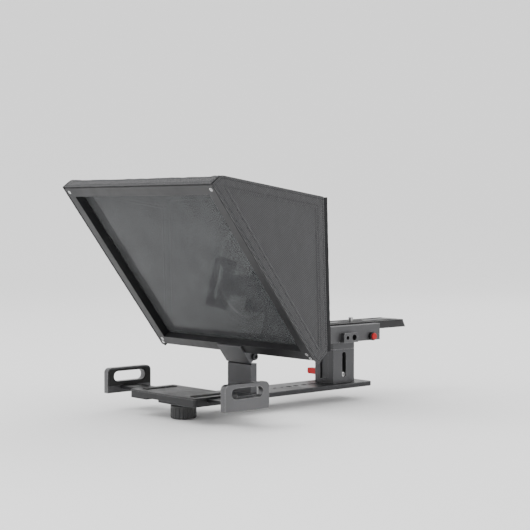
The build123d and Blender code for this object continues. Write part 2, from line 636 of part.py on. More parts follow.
def frame_corner_screws():
    screws = [place * flat_screw(*THROUGH_SCREW) for place in corner_screw_spots()]
    screws += [place * flat_screw(*EXTRA_SCREW) for place in extra_screw_spots()]
    return group([FRAME_PLANE.location * screw for screw in screws])


# ---------------------------------------------------------------- hood
HOOD_HALF = HALF_FRAME + CLOTH
FRONT_LOW = on_slope(0, 0)
FRONT_HIGH = on_slope(FRAME_HEIGHT + CLOTH, 0)
TOP_FRONT = on_slope(FRAME_HEIGHT + CLOTH, -FRAME_DEPTH)
LOW_VERTEX = on_slope(-HOOD_BELOW_FRAME, -HOOD_LOW_AHEAD)
BACK_LOW = on_slope(-HOOD_LOW_BACK, -FRAME_DEPTH - HOOD_BEHIND_FRAME)
TOP_BACK = (
    TOP_FRONT[0] + HOOD_TOP_LENGTH * cos(radians(HOOD_TOP_DROP)),
    TOP_FRONT[1] - HOOD_TOP_LENGTH * sin(radians(HOOD_TOP_DROP)),
)
SIDE_OUTLINE = (FRONT_LOW, FRONT_HIGH, TOP_FRONT, TOP_BACK, BACK_LOW, LOW_VERTEX)
BACK_LEAN = degrees(atan2(TOP_BACK[0] - BACK_LOW[0], TOP_BACK[1] - BACK_LOW[1]))


def step_from(start, end, along, side):
    """Point that lies some way from start towards end, and then some way to the left of that line."""
    length = hypot(end[0] - start[0], end[1] - start[1])
    dy, dz = (end[0] - start[0]) / length, (end[1] - start[1]) / length
    return (start[0] + dy * along - dz * side, start[1] + dz * along + dy * side)


def back_y(z):
    """Y of the back panel's inner face at a height."""
    share = (z - BACK_LOW[1]) / (TOP_BACK[1] - BACK_LOW[1])
    return BACK_LOW[0] + share * (TOP_BACK[0] - BACK_LOW[0])


LENS_HEIGHT = (BACK_LOW[1] + TOP_BACK[1]) / 2 + LENS_RISE
RING_R = LENS_OPENING_R + LENS_RING_WIDTH
RING_BACK = max(back_y(LENS_HEIGHT - RING_R), back_y(LENS_HEIGHT + RING_R))
SHROUD_START = RING_BACK + BACK_PANEL_THICK / cos(radians(BACK_LEAN)) + LENS_RING_THICK
SHROUD_END = SHROUD_START + SHROUD_LENGTH


def hood_side(x0):
    return prism_x(SIDE_OUTLINE, x0, x0 + CLOTH)


def hood_top():
    """Top panel, with the strip that folds forward over the frame's top rail."""
    inner_front = step_from(TOP_FRONT, TOP_BACK, 0, -CLOTH)
    inner_back = step_from(TOP_BACK, TOP_FRONT, 0, CLOTH)
    panel = prism_x((TOP_FRONT, TOP_BACK, inner_back, inner_front), -HALF_FRAME, HALF_FRAME)
    over_rail = (FRONT_HIGH, TOP_FRONT, on_slope(FRAME_HEIGHT, -FRAME_DEPTH), on_slope(FRAME_HEIGHT, 0))
    panel += prism_x(over_rail, -HALF_FRAME, HALF_FRAME)
    frame = block(-FRAME_WIDTH, FRAME_WIDTH, 0, FRAME_HEIGHT, -FRAME_DEPTH, 0)
    return panel - FRAME_PLANE.location * frame


def lens_bar(radius, y0, y1):
    """Round bar along the lens axis."""
    return Pos(0, (y0 + y1) / 2, LENS_HEIGHT) * Rot(90, 0, 0) * Cylinder(radius, y1 - y0)


def back_slab(thick):
    """Slab behind the hood, on the back panel's inner face."""
    outer_top = step_from(TOP_BACK, BACK_LOW, 0, thick)
    outer_low = step_from(BACK_LOW, TOP_BACK, 0, -thick)
    return prism_x((TOP_BACK, outer_top, outer_low, BACK_LOW), -HOOD_HALF, HOOD_HALF)


def hood_back_panel():
    return back_slab(BACK_PANEL_THICK) - lens_bar(LENS_OPENING_R, BACK_LOW[0] - 60, BACK_LOW[0] + 60)


def hood_lower_flaps():
    """Two narrow cloth flaps that close the hood's underside, one on each side of the bracket."""
    start = on_slope(-FLAP_BELOW_FRAME, -FRAME_DEPTH)
    end = step_from(BACK_LOW, TOP_BACK, CLOTH, 0)
    front = on_slope(-FLAP_BELOW_FRAME - CLOTH, -FRAME_DEPTH + FLAP_LAP)
    flap = prism_x((start, end, BACK_LOW, front), FLAP_HALF_GAP, HALF_FRAME)
    return group(both_sides(flap))


def lens_ring():
    """Stiff ring that the shroud is sewn to, flat on the back panel."""
    ring_front = BACK_LOW[0] - 20
    ring = lens_bar(RING_R, ring_front, SHROUD_START)
    ring -= lens_bar(LENS_OPENING_R, ring_front, SHROUD_START)
    return ring - back_slab(BACK_PANEL_THICK) - back_slab(-40)


def lens_shroud():
    """Cloth sleeve round the lens, from the ring back to its drawn-in neck."""
    middle = (SHROUD_START + SHROUD_END) / 2
    middle_r = (RING_R + SHROUD_NECK_R) / 2 + SHROUD_BULGE
    inner_r = RING_R - SHROUD_WALL
    outer = ThreePointArc((RING_R, SHROUD_START), (middle_r, middle), (SHROUD_NECK_R, SHROUD_END))
    end = Line((SHROUD_NECK_R, SHROUD_END), (SHROUD_NECK_R - SHROUD_WALL, SHROUD_END))
    inner = ThreePointArc((SHROUD_NECK_R - SHROUD_WALL, SHROUD_END), (middle_r - SHROUD_WALL, middle),
                          (inner_r, SHROUD_START))
    start = Line((inner_r, SHROUD_START), (RING_R, SHROUD_START))
    return Pos(0, 0, LENS_HEIGHT) * revolve(make_face([outer, end, inner, start]), Axis.Y)


def shroud_drawcord():
    """Elastic cord round the shroud's drawn-in end."""
    ring = Rot(90, 0, 0) * Torus(SHROUD_NECK_R - SHROUD_WALL / 2, DRAWCORD_R)
    return Pos(0, SHROUD_END + DRAWCORD_R, LENS_HEIGHT) * ring


def cord_lock():
    """Toggle that grips the drawcord under the shroud."""
    top = LENS_HEIGHT - SHROUD_NECK_R + SHROUD_WALL / 2 - DRAWCORD_R
    barrel = rod_z(0, SHROUD_END + CORD_LOCK_R, top - CORD_LOCK_LENGTH, top, CORD_LOCK_R)
    return fillet(barrel.edges().filter_by(GeomType.CIRCLE), CORD_LOCK_ROUND)


# ---------------------------------------------------------------- riser
def riser_channel():
    half, gap = RISER_WIDTH / 2, TONGUE_WIDTH / 2 + MOVE_GAP
    back = RISER_START + RISER_LENGTH
    body = block(-half, half, RISER_START, back, BASE_THICK, CHANNEL_TOP)
    body = chamfer(body.edges().filter_by(Axis.Z), RISER_BEVEL)
    cuts = [block(-gap, gap, RISER_START - 1, back + 1, BASE_THICK + CHANNEL_FLOOR, CHANNEL_TOP + 1)]
    slot_length = RISER_LIFT + RISER_SLOT_WIDTH
    slot_middle = BASE_THICK + RISER_SLOT_LOW + slot_length / 2
    slot_x_ends = (-half - 1, half + 1)
    cuts.append(slot_x(RISER_MIDDLE, slot_middle, slot_length, RISER_SLOT_WIDTH, *slot_x_ends, upright=True))
    cuts += [place * flat_screw_hole(*CHANNEL_SCREW) for place in CHANNEL_SCREW_PLACES]
    return without(body, cuts)


def channel_screws():
    return group([place * flat_screw(*CHANNEL_SCREW) for place in CHANNEL_SCREW_PLACES])


PLATFORM_SCREW_PLACES = [
    Pos(x, y, CAP_BOTTOM + PLATFORM_SCREW_SUNK) * Rot(180, 0, 0)
    for x in (-PLATFORM_SCREW_X, PLATFORM_SCREW_X)
    for y in (RISER_START + CHANNEL_SCREW_INSET, RISER_START + RISER_LENGTH - CHANNEL_SCREW_INSET)
]


def riser_slider():
    half, back = RISER_WIDTH / 2, RISER_START + RISER_LENGTH
    cap = block(-half, half, RISER_START, back, CAP_BOTTOM, PLATFORM_BOTTOM)
    cap = chamfer(cap.edges().filter_by(Axis.Z), RISER_BEVEL)
    low = BASE_THICK + CHANNEL_FLOOR + MOVE_GAP
    tongue = block(-TONGUE_WIDTH / 2, TONGUE_WIDTH / 2, RISER_START + TONGUE_INSET, back - TONGUE_INSET, low,
                   CAP_BOTTOM)
    cuts = [rod_x(-half, half, RISER_MIDDLE, LOCK_Z, LOCK_BOLT_R)]
    cuts += [place * cap_screw_hole(*PLATFORM_SCREW) for place in PLATFORM_SCREW_PLACES]
    head_way = rod_z(0, 0, 0, 2 * PLATFORM_SCREW_SUNK, PLATFORM_SCREW[1] + SCREW_FIT)
    cuts += [place * head_way for place in PLATFORM_SCREW_PLACES]
    return without(cap + tongue, cuts)


def platform_screws():
    return group([place * cap_screw(*PLATFORM_SCREW) for place in PLATFORM_SCREW_PLACES])


def riser_lock_bolt():
    """Guide bolt fixed in the tongue; its ends run in the two side slots."""
    end = RISER_WIDTH / 2 - LOCK_BOLT_SUNK
    bolt = rod_x(-RISER_WIDTH / 2 - LEVER_HUB_LENGTH, end, RISER_MIDDLE, LOCK_Z, LOCK_BOLT_R)
    socket = Plane.YZ * RegularPolygon(LOCK_SOCKET_R, 6)
    return bolt - Pos(end, RISER_MIDDLE, LOCK_Z) * extrude(socket, -LOCK_SOCKET_DEPTH)


def riser_lock_lever():
    near = -RISER_WIDTH / 2 - MOVE_GAP
    far = near - LEVER_HUB_LENGTH
    hub = rod_x(far, near, RISER_MIDDLE, LOCK_Z, LEVER_HUB_R)
    thin = LEVER_THICK / 2
    wing = block(far - LEVER_REACH, far + LEVER_HUB_R, RISER_MIDDLE - thin, RISER_MIDDLE + thin,
                 LOCK_Z - LEVER_WIDTH / 2, LOCK_Z + LEVER_WIDTH / 2)
    wing = fillet(wing.edges().filter_by(Axis.Y), LEVER_ROUND)
    bore = rod_x(far - LEVER_BORE_END, near + 1, RISER_MIDDLE, LOCK_Z, LOCK_BOLT_R + RUN_FIT)
    return hub + wing - bore


# ---------------------------------------------------------------- camera platform
def dovetail(half_top, y0, y1, z0, z1, x_shift=0.0):
    """Bar along Y whose flanks lean in towards the top."""
    spread = DOVETAIL_LEAN
    outline = [(-half_top - spread, z0), (half_top + spread, z0), (half_top, z1), (-half_top, z1)]
    face = make_face(Polyline(*[(x + x_shift, y0, z) for x, z in outline], close=True))
    return extrude(face, y1 - y0, dir=(0, 1, 0))


def jaw_pocket(grow):
    """Room for the sliding jaw in the platform's left rail."""
    half = PLATFORM_WIDTH / 2
    return block(-half - 20, -DOVETAIL_TOP_WIDTH / 2 + 2, JAW_Y0 - grow, JAW_Y0 + JAW_LENGTH + grow,
                 DOVETAIL_FLOOR + MOVE_GAP - grow, PLATFORM_TOP + 1)


def camera_platform():
    half = PLATFORM_WIDTH / 2
    body = block(-half, half, PLATFORM_START, PLATFORM_END, PLATFORM_BOTTOM, PLATFORM_TOP)
    body = chamfer(body.edges().filter_by(Axis.Z), PLATFORM_BEVEL)
    boss_y0 = PLATFORM_START + BOSS_START
    boss = block(half - 2, half + BOSS_REACH, boss_y0, boss_y0 + BOSS_LENGTH, PLATFORM_BOTTOM,
                 PLATFORM_BOTTOM + BOSS_HEIGHT)
    boss = fillet(boss.edges().filter_by(Axis.X).sort_by(Axis.Z)[-2:], BOSS_ROUND)
    body += boss
    top_half = DOVETAIL_TOP_WIDTH / 2
    cuts = [dovetail(top_half, PLATFORM_START - 1, PLATFORM_END + 1, DOVETAIL_FLOOR, PLATFORM_TOP)]
    cuts.append(jaw_pocket(MOVE_GAP))
    cuts.append(rod_x(-half - 1, 0, JAW_MIDDLE, JAW_BOLT_Z, CLAMP_BOLT_R + RUN_FIT))
    boss_out = half + BOSS_REACH
    for place, radius in ((-0.5, INCH_QUARTER_TAP_R), (0.5, INCH_THREE_EIGHTHS_TAP_R)):
        y = boss_y0 + BOSS_LENGTH / 2 + place * BOSS_HOLE_SPACING
        cuts.append(rod_x(boss_out - BOSS_HOLE_DEPTH, boss_out + 1, y, BOSS_HOLE_Z, radius))
    cuts.append(rod_x(BUTTON_BORE_END, half, BUTTON_Y, BUTTON_Z, BUTTON_STEM_R + RUN_FIT))
    cuts.append(rod_x(SPRING_SEAT_X, half, BUTTON_Y, BUTTON_Z, SPRING_R + 2 * SPRING_WIRE))
    cuts.append(rod_x(half - BUTTON_TRAVEL - MOVE_GAP, half, BUTTON_Y, BUTTON_Z, BUTTON_R + MOVE_GAP))
    cuts.append(rod_x(half - COLLAR_SEAT, half + 1, BUTTON_Y, BUTTON_Z, COLLAR_R))
    pin_room = STOP_PIN_R + MOVE_GAP
    cuts.append(block(STOP_PIN_X - BUTTON_TRAVEL - pin_room, STOP_PIN_X + pin_room, BUTTON_Y - pin_room,
                      BUTTON_Y + pin_room, BUTTON_Z, DOVETAIL_FLOOR + 1))
    cuts += [place * cap_screw_hole(*PLATFORM_SCREW) for place in PLATFORM_SCREW_PLACES]
    return without(body, cuts)




def platform_jaw():
    """Sliding half of the dovetail, with a foot outside the platform that the clamp lever pushes on."""
    half = PLATFORM_WIDTH / 2
    jaw = block(-half - JAW_FOOT, -DOVETAIL_TOP_WIDTH / 2, JAW_Y0, JAW_Y0 + JAW_LENGTH,
                DOVETAIL_FLOOR + MOVE_GAP, PLATFORM_TOP)
    jaw += block(-half - JAW_FOOT, -half - MOVE_GAP - JAW_OPENING, JAW_Y0, JAW_Y0 + JAW_LENGTH,
                 JAW_BOLT_Z - JAW_FOOT_DROP, PLATFORM_TOP)
    jaw -= dovetail(DOVETAIL_TOP_WIDTH / 2, JAW_Y0 - 1, JAW_Y0 + JAW_LENGTH + 1, DOVETAIL_FLOOR, PLATFORM_TOP)
    jaw = chamfer(jaw.faces().sort_by(Axis.X)[0].edges(), JAW_BEVEL)
    return jaw - rod_x(-half - 10, -half + 5, JAW_MIDDLE, JAW_BOLT_Z, CLAMP_BOLT_R + RUN_FIT)


def clamp_bolt():
    """Bolt that draws the jaw in; it turns in the platform with the lever."""
    return rod_x(CLAMP_BOLT_END, -CLAMP_BOLT_INNER, JAW_MIDDLE, JAW_BOLT_Z, CLAMP_BOLT_R)


def clamp_lever():
    near = -PLATFORM_WIDTH / 2 - JAW_FOOT - MOVE_GAP - JAW_OPENING
    far = near - CLAMP_HUB_LENGTH
    hub = rod_x(far, near, JAW_MIDDLE, JAW_BOLT_Z, CLAMP_HUB_R)
    arm_half = CLAMP_LEVER_WIDTH / 2
    arm_end = JAW_MIDDLE + CLAMP_LEVER_LENGTH
    arm_z = (JAW_BOLT_Z - arm_half, JAW_BOLT_Z + arm_half)
    arm = block(far, far + CLAMP_LEVER_THICK, JAW_MIDDLE, arm_end, *arm_z)
    arm = fillet(arm.edges().filter_by(Axis.X).sort_by(Axis.Y)[-2:], CLAMP_LEVER_ROUND)
    return hub + arm - rod_x(CLAMP_BOLT_END, near + 1, JAW_MIDDLE, JAW_BOLT_Z, CLAMP_BOLT_R)


def safety_button():
    """Push button with its stem and the stop pin that stands in the plate's groove."""
    half = PLATFORM_WIDTH / 2
    cap = rod_x(half + MOVE_GAP, half + BUTTON_PROUD, BUTTON_Y, BUTTON_Z, BUTTON_R)
    cap = chamfer(cap.faces().sort_by(Axis.X)[-1].edges(), BUTTON_BEVEL)
    stem = rod_x(BUTTON_BORE_END + BUTTON_TRAVEL + MOVE_GAP, half + 1, BUTTON_Y, BUTTON_Z, BUTTON_STEM_R)
    pin = rod_z(STOP_PIN_X, BUTTON_Y, BUTTON_Z, PLATE_BOTTOM + STOP_GROOVE_DEPTH, STOP_PIN_R)
    return cap + stem + pin


def safety_collar():
    half = PLATFORM_WIDTH / 2
    collar = rod_x(half - COLLAR_SEAT, half + COLLAR_THICK, BUTTON_Y, BUTTON_Z, COLLAR_R)
    collar = chamfer(collar.faces().sort_by(Axis.X)[-1].edges(), COLLAR_BEVEL)
    inside = rod_x(half - COLLAR_SEAT, half + COLLAR_THICK, BUTTON_Y, BUTTON_Z, BUTTON_R + MOVE_GAP)
    return collar - inside


def safety_spring():
    """Coil spring round the button's stem."""
    length = PLATFORM_WIDTH / 2 + MOVE_GAP - SPRING_SEAT_X - 2 * SPRING_WIRE
    path = Helix(pitch=length / SPRING_TURNS, height=length, radius=SPRING_R)
    start = Plane(origin=path @ 0, z_dir=path % 0)
    coil = sweep(start * Circle(SPRING_WIRE), path)
    return Pos(SPRING_SEAT_X + SPRING_WIRE, BUTTON_Y, BUTTON_Z) * Rot(0, 90, 0) * coil


# ---------------------------------------------------------------- quick-release plate
def quick_release_plate():
    end = PLATE_START + PLATE_LENGTH
    half_top = DOVETAIL_TOP_WIDTH / 2 - PLATE_SIDE_GAP
    low = dovetail(half_top, PLATE_START, end, PLATE_BOTTOM, PLATFORM_TOP)
    high = block(-half_top, half_top, PLATE_START, end, PLATFORM_TOP, PLATE_TOP)
    body = low + high
    groove_x0 = STOP_PIN_X - BUTTON_TRAVEL - STOP_PIN_R - MOVE_GAP
    groove_x1 = STOP_PIN_X + STOP_PIN_R + MOVE_GAP
    reach = STOP_PIN_R + MOVE_GAP
    cuts = [block(groove_x0, groove_x1, BUTTON_Y - PLATE_BACKWARD - reach, BUTTON_Y + PLATE_FORWARD + reach,
                  PLATE_BOTTOM - 1, PLATE_BOTTOM + STOP_GROOVE_DEPTH + MOVE_GAP)]
    below = PLATE_BOTTOM - 1
    way = 2 * (INCH_QUARTER_R + MOVE_GAP)
    cuts.append(slot_z(0, CAMERA_SCREW_Y, CAMERA_SLOT_LENGTH, way, below, PLATE_TOP + 1))
    well_length = CAMERA_SLOT_LENGTH + 2 * CAMERA_SCREW_HEAD_R - CAMERA_WELL_SHORT
    well = 2 * (CAMERA_SCREW_HEAD_R + MOVE_GAP)
    cuts.append(slot_z(0, CAMERA_SCREW_Y, well_length, well, below, PLATE_BOTTOM + CAMERA_HEAD_ROOM))
    pad_y = (PLATE_START + PAD_INSET, end - PAD_INSET)
    for x in (-PAD_X, PAD_X):
        pad_x = (x - PAD_WIDTH / 2, x + PAD_WIDTH / 2)
        cuts.append(block(*pad_x, *pad_y, PLATE_TOP - PAD_THICK / 2, PLATE_TOP + 1))
    return without(body, cuts)


def plate_pads():
    low = PLATE_TOP - PAD_THICK / 2
    pad = block(PAD_X - PAD_WIDTH / 2, PAD_X + PAD_WIDTH / 2, PLATE_START + PAD_INSET,
                PLATE_START + PLATE_LENGTH - PAD_INSET, low, low + PAD_THICK)
    return group(both_sides(pad))


def camera_screw_washer():
    """Washer that slides along the plate's slot and carries the camera screw."""
    top = PLATE_BOTTOM + CAMERA_HEAD_ROOM - MOVE_GAP
    washer = rod_z(0, CAMERA_SCREW_Y, top - SCREW_WASHER_THICK, top, CAMERA_SCREW_HEAD_R)
    return washer - rod_z(0, CAMERA_SCREW_Y, top - 2, top + 1, CAMERA_NECK_R + RUN_FIT)


def camera_screw():
    low = PLATE_BOTTOM + MOVE_GAP
    head_top = low + CAMERA_SCREW_HEAD_THICK
    head = rod_z(0, CAMERA_SCREW_Y, low, head_top, CAMERA_SCREW_HEAD_R)
    slot_width, slot_depth = CAMERA_COIN_SLOT
    head -= block(-CAMERA_SCREW_HEAD_R, CAMERA_SCREW_HEAD_R, CAMERA_SCREW_Y - slot_width / 2,
                  CAMERA_SCREW_Y + slot_width / 2, low - 1, low + slot_depth)
    stud = rod_z(0, CAMERA_SCREW_Y, STUD_START, STUD_END, INCH_QUARTER_R)
    stud = chamfer(stud.faces().sort_by(Axis.Z)[-1].edges(), CAMERA_STUD_BEVEL)
    return head + rod_z(0, CAMERA_SCREW_Y, low, STUD_START, CAMERA_NECK_R) + stud


# ---------------------------------------------------------------- tablet holder
COVER_SCREW_PLACES = [
    Pos(x, y, HOLDER_TOP_Z)
    for x in (-HALF_HOLDER + COVER_SCREW_INSET, HALF_HOLDER - COVER_SCREW_INSET)
    for y in (HOLDER_Y0 + COVER_SCREW_INSET, HOLDER_Y1 - COVER_SCREW_INSET)
]


def holder_outline(z0, z1):
    outline = RectangleRounded(HOLDER_WIDTH, HOLDER_DEPTH, HOLDER_CORNER)
    return Pos(0, HOLDER_CENTRE, z0) * extrude(outline, z1 - z0)


def holder_body():
    body = holder_outline(HOLDER_BOTTOM, COVER_BOTTOM)
    rail_room = BASE_WIDTH / 2 + MOVE_GAP
    rail_top = BASE_THICK + MOVE_GAP
    cuts = [block(-rail_room, rail_room, HOLDER_Y0 - 1, HOLDER_Y1 + 1, HOLDER_BOTTOM - 1, rail_top)]
    arm_room = ARM_WIDTH / 2 + MOVE_GAP
    channel = block(-HALF_HOLDER - 1, HALF_HOLDER + 1, HOLDER_CENTRE - arm_room, HOLDER_CENTRE + arm_room,
                    ARM_BOTTOM - MOVE_GAP, COVER_BOTTOM + 1)
    cuts.append(channel - rod_z(0, HOLDER_CENTRE, 0, 30, INSERT_BOSS_R))
    cuts.append(rod_z(0, HOLDER_CENTRE, 0, COVER_BOTTOM + 1, INSERT_R))
    cuts += [place * flat_screw_hole(*COVER_SCREW) for place in COVER_SCREW_PLACES]
    return without(body, cuts)


def holder_insert():
    """Brass threaded insert that the holder's knob screws into."""
    low = BASE_THICK + MOVE_GAP
    insert = rod_z(0, HOLDER_CENTRE, low, COVER_BOTTOM, INSERT_R)
    return insert - rod_z(0, HOLDER_CENTRE, low - 1, COVER_BOTTOM + 1, INCH_QUARTER_R + RUN_FIT)


def holder_cover():
    cover = holder_outline(COVER_BOTTOM, HOLDER_TOP_Z)
    cover = chamfer(cover.faces().sort_by(Axis.Z)[-1].edges(), COVER_BEVEL)
    holes = [place * flat_screw_hole(*COVER_SCREW) for place in COVER_SCREW_PLACES]
    return without(cover, holes)


def cover_screws():
    return group([place * flat_screw(*COVER_SCREW) for place in COVER_SCREW_PLACES])


def holder_pads():
    """Two rubber strips that the tablet's back lies on."""
    from_end, from_side = HOLDER_PAD_INSET
    outer = HALF_HOLDER - from_end
    pad = block(outer - HOLDER_PAD_WIDTH, outer, HOLDER_Y0 + from_side, HOLDER_Y1 - from_side, HOLDER_TOP_Z,
                HOLDER_TOP_Z + HOLDER_PAD_THICK)
    return group(both_sides(pad))


def tenon():
    """Thinner end of the right arm that sits in the clamp plate's pocket."""
    half = ARM_WIDTH / 2 - TENON_INSET
    middle = ARM_BOTTOM + ARM_THICK / 2
    return block(CLAMP_INNER - 1, CLAMP_INNER + TENON_LENGTH, HOLDER_CENTRE - half, HOLDER_CENTRE + half,
                 middle - TENON_THICK / 2, middle + TENON_THICK / 2)


SET_SCREW_PLACES = [
    Pos(CLAMP_INNER + SET_SCREW_IN, HOLDER_CENTRE + y, CLAMP_BOTTOM)
    for y in (-SET_SCREW_Y, SET_SCREW_Y)
]


def right_arm():
    arm = block(ARM_INNER_END, CLAMP_INNER, HOLDER_CENTRE - ARM_WIDTH / 2, HOLDER_CENTRE + ARM_WIDTH / 2,
                ARM_BOTTOM, ARM_BOTTOM + ARM_THICK)
    return arm + tenon()


def right_clamp_plate():
    y0 = HOLDER_CENTRE - CLAMP_LENGTH / 2
    plate = block(CLAMP_INNER, CLAMP_INNER + CLAMP_THICK, y0, y0 + CLAMP_LENGTH, CLAMP_BOTTOM,
                  CLAMP_BOTTOM + CLAMP_HEIGHT)
    plate = fillet(plate.edges().filter_by(Axis.X).sort_by(Axis.Z)[-2:], CLAMP_CORNER)
    plate = chamfer(plate.faces().sort_by(Axis.X)[-1].edges(), CLAMP_BEVEL)
    cuts = [slot_x(HOLDER_CENTRE, CLAMP_SLOT_MIDDLE, CLAMP_SLOT_LENGTH, CLAMP_SLOT_HEIGHT, CLAMP_INNER - 1,
                   CLAMP_INNER + CLAMP_THICK + 1), tenon()]
    cuts += [place * rod_z(0, 0, -1, SET_SCREW_LENGTH, SET_SCREW_R) for place in SET_SCREW_PLACES]
    return without(plate, cuts)


def right_set_screws():
    screw = rod_z(0, 0, SET_SCREW_SUNK, SET_SCREW_LENGTH, SET_SCREW_R)
    screw -= Pos(0, 0, SET_SCREW_SUNK) * extrude(RegularPolygon(SET_SOCKET_R, 6), SET_SOCKET_DEPTH)
    return group([place * screw for place in SET_SCREW_PLACES])


def right_clamp_pad():
    """Rubber pad on the clamp plate's inner face, open at the plate's slot and cut away at the arm."""
    half = CLAMP_LENGTH / 2 - CLAMP_PAD_INSET
    top = CLAMP_BOTTOM + CLAMP_HEIGHT - CLAMP_PAD_INSET
    low = ARM_BOTTOM + ARM_THICK + CLAMP_PAD_LIFT
    pad = block(CLAMP_INNER - CLAMP_PAD, CLAMP_INNER, HOLDER_CENTRE - half, HOLDER_CENTRE + half, low, top)
    pad = fillet(pad.edges().filter_by(Axis.X).sort_by(Axis.Z)[-2:], CLAMP_CORNER - CLAMP_PAD_INSET)
    length = CLAMP_SLOT_LENGTH + 2 * CLAMP_PAD_SLOT_GAP
    height = CLAMP_SLOT_HEIGHT + 2 * CLAMP_PAD_SLOT_GAP
    ends = (CLAMP_INNER - 2 * CLAMP_PAD, CLAMP_INNER + 1)
    return pad - slot_x(HOLDER_CENTRE, CLAMP_SLOT_MIDDLE, length, height, *ends)


def holder_knob():
    knob = rod_z(0, HOLDER_CENTRE, KNOB_TOP - KNOB_HEIGHT, KNOB_TOP, KNOB_R)
    knob = fillet(knob.faces().sort_by(Axis.Z)[0].edges(), KNOB_FOOT_ROUND)
    knob = chamfer(knob.faces().sort_by(Axis.Z)[-1].edges(), KNOB_TOP_BEVEL)
    flute = rod_z(0, 0, KNOB_TOP - KNOB_HEIGHT - 1, KNOB_TOP - KNOB_RIM, KNOB_FLUTE_R)
    for place in PolarLocations(KNOB_R + KNOB_FLUTE_OUT, KNOB_FLUTES):
        knob -= Pos(0, HOLDER_CENTRE, 0) * place * flute
    return knob - rod_z(0, HOLDER_CENTRE, KNOB_BORE_END, KNOB_TOP + 1, INCH_QUARTER_R)


def knob_bolt():
    bolt = rod_z(0, HOLDER_CENTRE, KNOB_BORE_END, COVER_BOTTOM - KNOB_BOLT_SHORT, INCH_QUARTER_R)
    return chamfer(bolt.faces().sort_by(Axis.Z)[-1].edges(), KNOB_BOLT_BEVEL)


def knob_washer():
    washer = rod_z(0, HOLDER_CENTRE, KNOB_TOP, KNOB_TOP + KNOB_WASHER_THICK, KNOB_WASHER_R)
    return washer - rod_z(0, HOLDER_CENTRE, KNOB_TOP - 1, KNOB_TOP + 2, INCH_QUARTER_R)


# ---------------------------------------------------------------- all pieces by name
def mirrored(piece):
    return piece.mirror(Plane.YZ)


def all_parts():
    parts = {
        "base_plate": base_plate(),
        "hinge_post": hinge_post(),
        "post_screws": post_screws(),
        "hinge_washers": hinge_washers(),
        "mirror_bracket": mirror_bracket(),
        "bracket_screws": bracket_screws(),
        "hinge_bolt": hinge_bolt(),
        "hinge_nut": hinge_nut(),
        "glass_gasket": glass_gasket(),
        "beam_splitter_glass": beam_splitter_glass(),
        "glass_retainer": glass_retainer(),
        "frame_corner_plates": frame_corner_plates(),
        "frame_corner_screws": frame_corner_screws(),
        "hood_left_panel": hood_side(-HOOD_HALF),
        "hood_right_panel": hood_side(HALF_FRAME),
        "hood_top_panel": hood_top(),
        "hood_back_panel": hood_back_panel(),
        "hood_lower_flaps": hood_lower_flaps(),
        "lens_ring": lens_ring(),
        "lens_shroud": lens_shroud(),
        "shroud_drawcord": shroud_drawcord(),
        "cord_lock": cord_lock(),
        "riser_channel": riser_channel(),
        "channel_screws": channel_screws(),
        "riser_slider": riser_slider(),
        "platform_screws": platform_screws(),
        "riser_lock_bolt": riser_lock_bolt(),
        "riser_lock_lever": riser_lock_lever(),
        "camera_platform": camera_platform(),
        "platform_jaw": platform_jaw(),
        "clamp_bolt": clamp_bolt(),
        "clamp_lever": clamp_lever(),
        "safety_button": safety_button(),
        "safety_collar": safety_collar(),
        "safety_spring": safety_spring(),
        "quick_release_plate": quick_release_plate(),
        "plate_pads": plate_pads(),
        "camera_screw_washer": camera_screw_washer(),
        "camera_screw": camera_screw(),
        "holder_body": holder_body(),
        "holder_insert": holder_insert(),
        "holder_cover": holder_cover(),
        "cover_screws": cover_screws(),
        "holder_pads": holder_pads(),
        "holder_knob": holder_knob(),
        "knob_bolt": knob_bolt(),
        "knob_washer": knob_washer(),
    }
    parts.update(frame_rails())
    right_side = {
        "arm": right_arm(),
        "clamp_plate": right_clamp_plate(),
        "clamp_pad": right_clamp_pad(),
    }
    for name, piece in right_side.items():
        parts["right_" + name] = piece
        parts["left_" + name] = mirrored(piece)
    parts["right_set_screws"] = right_set_screws()
    parts["left_set_screws"] = group([mirrored(screw) for screw in right_set_screws().solids()])
    return parts


os.makedirs("parts", exist_ok=True)
for node, shape in all_parts().items():
    export_step(shape, os.path.join("parts", node + ".step"))
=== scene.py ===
"""Finishes, cloth hood, stitching and studio stage for a tablet teleprompter.

Lengths are in metres. The origin is the 3/8 inch tripod thread on the underside of the base plate.
+X is the right-hand side seen from the speaker's place, +Y runs from the speaker to the camera, +Z is up.
"""
import json
from math import atan2, cos, exp, hypot, pi, radians, sin

import bmesh
import bpy
from bpy.props import FloatProperty, FloatVectorProperty, IntProperty, PointerProperty
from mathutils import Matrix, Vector, noise


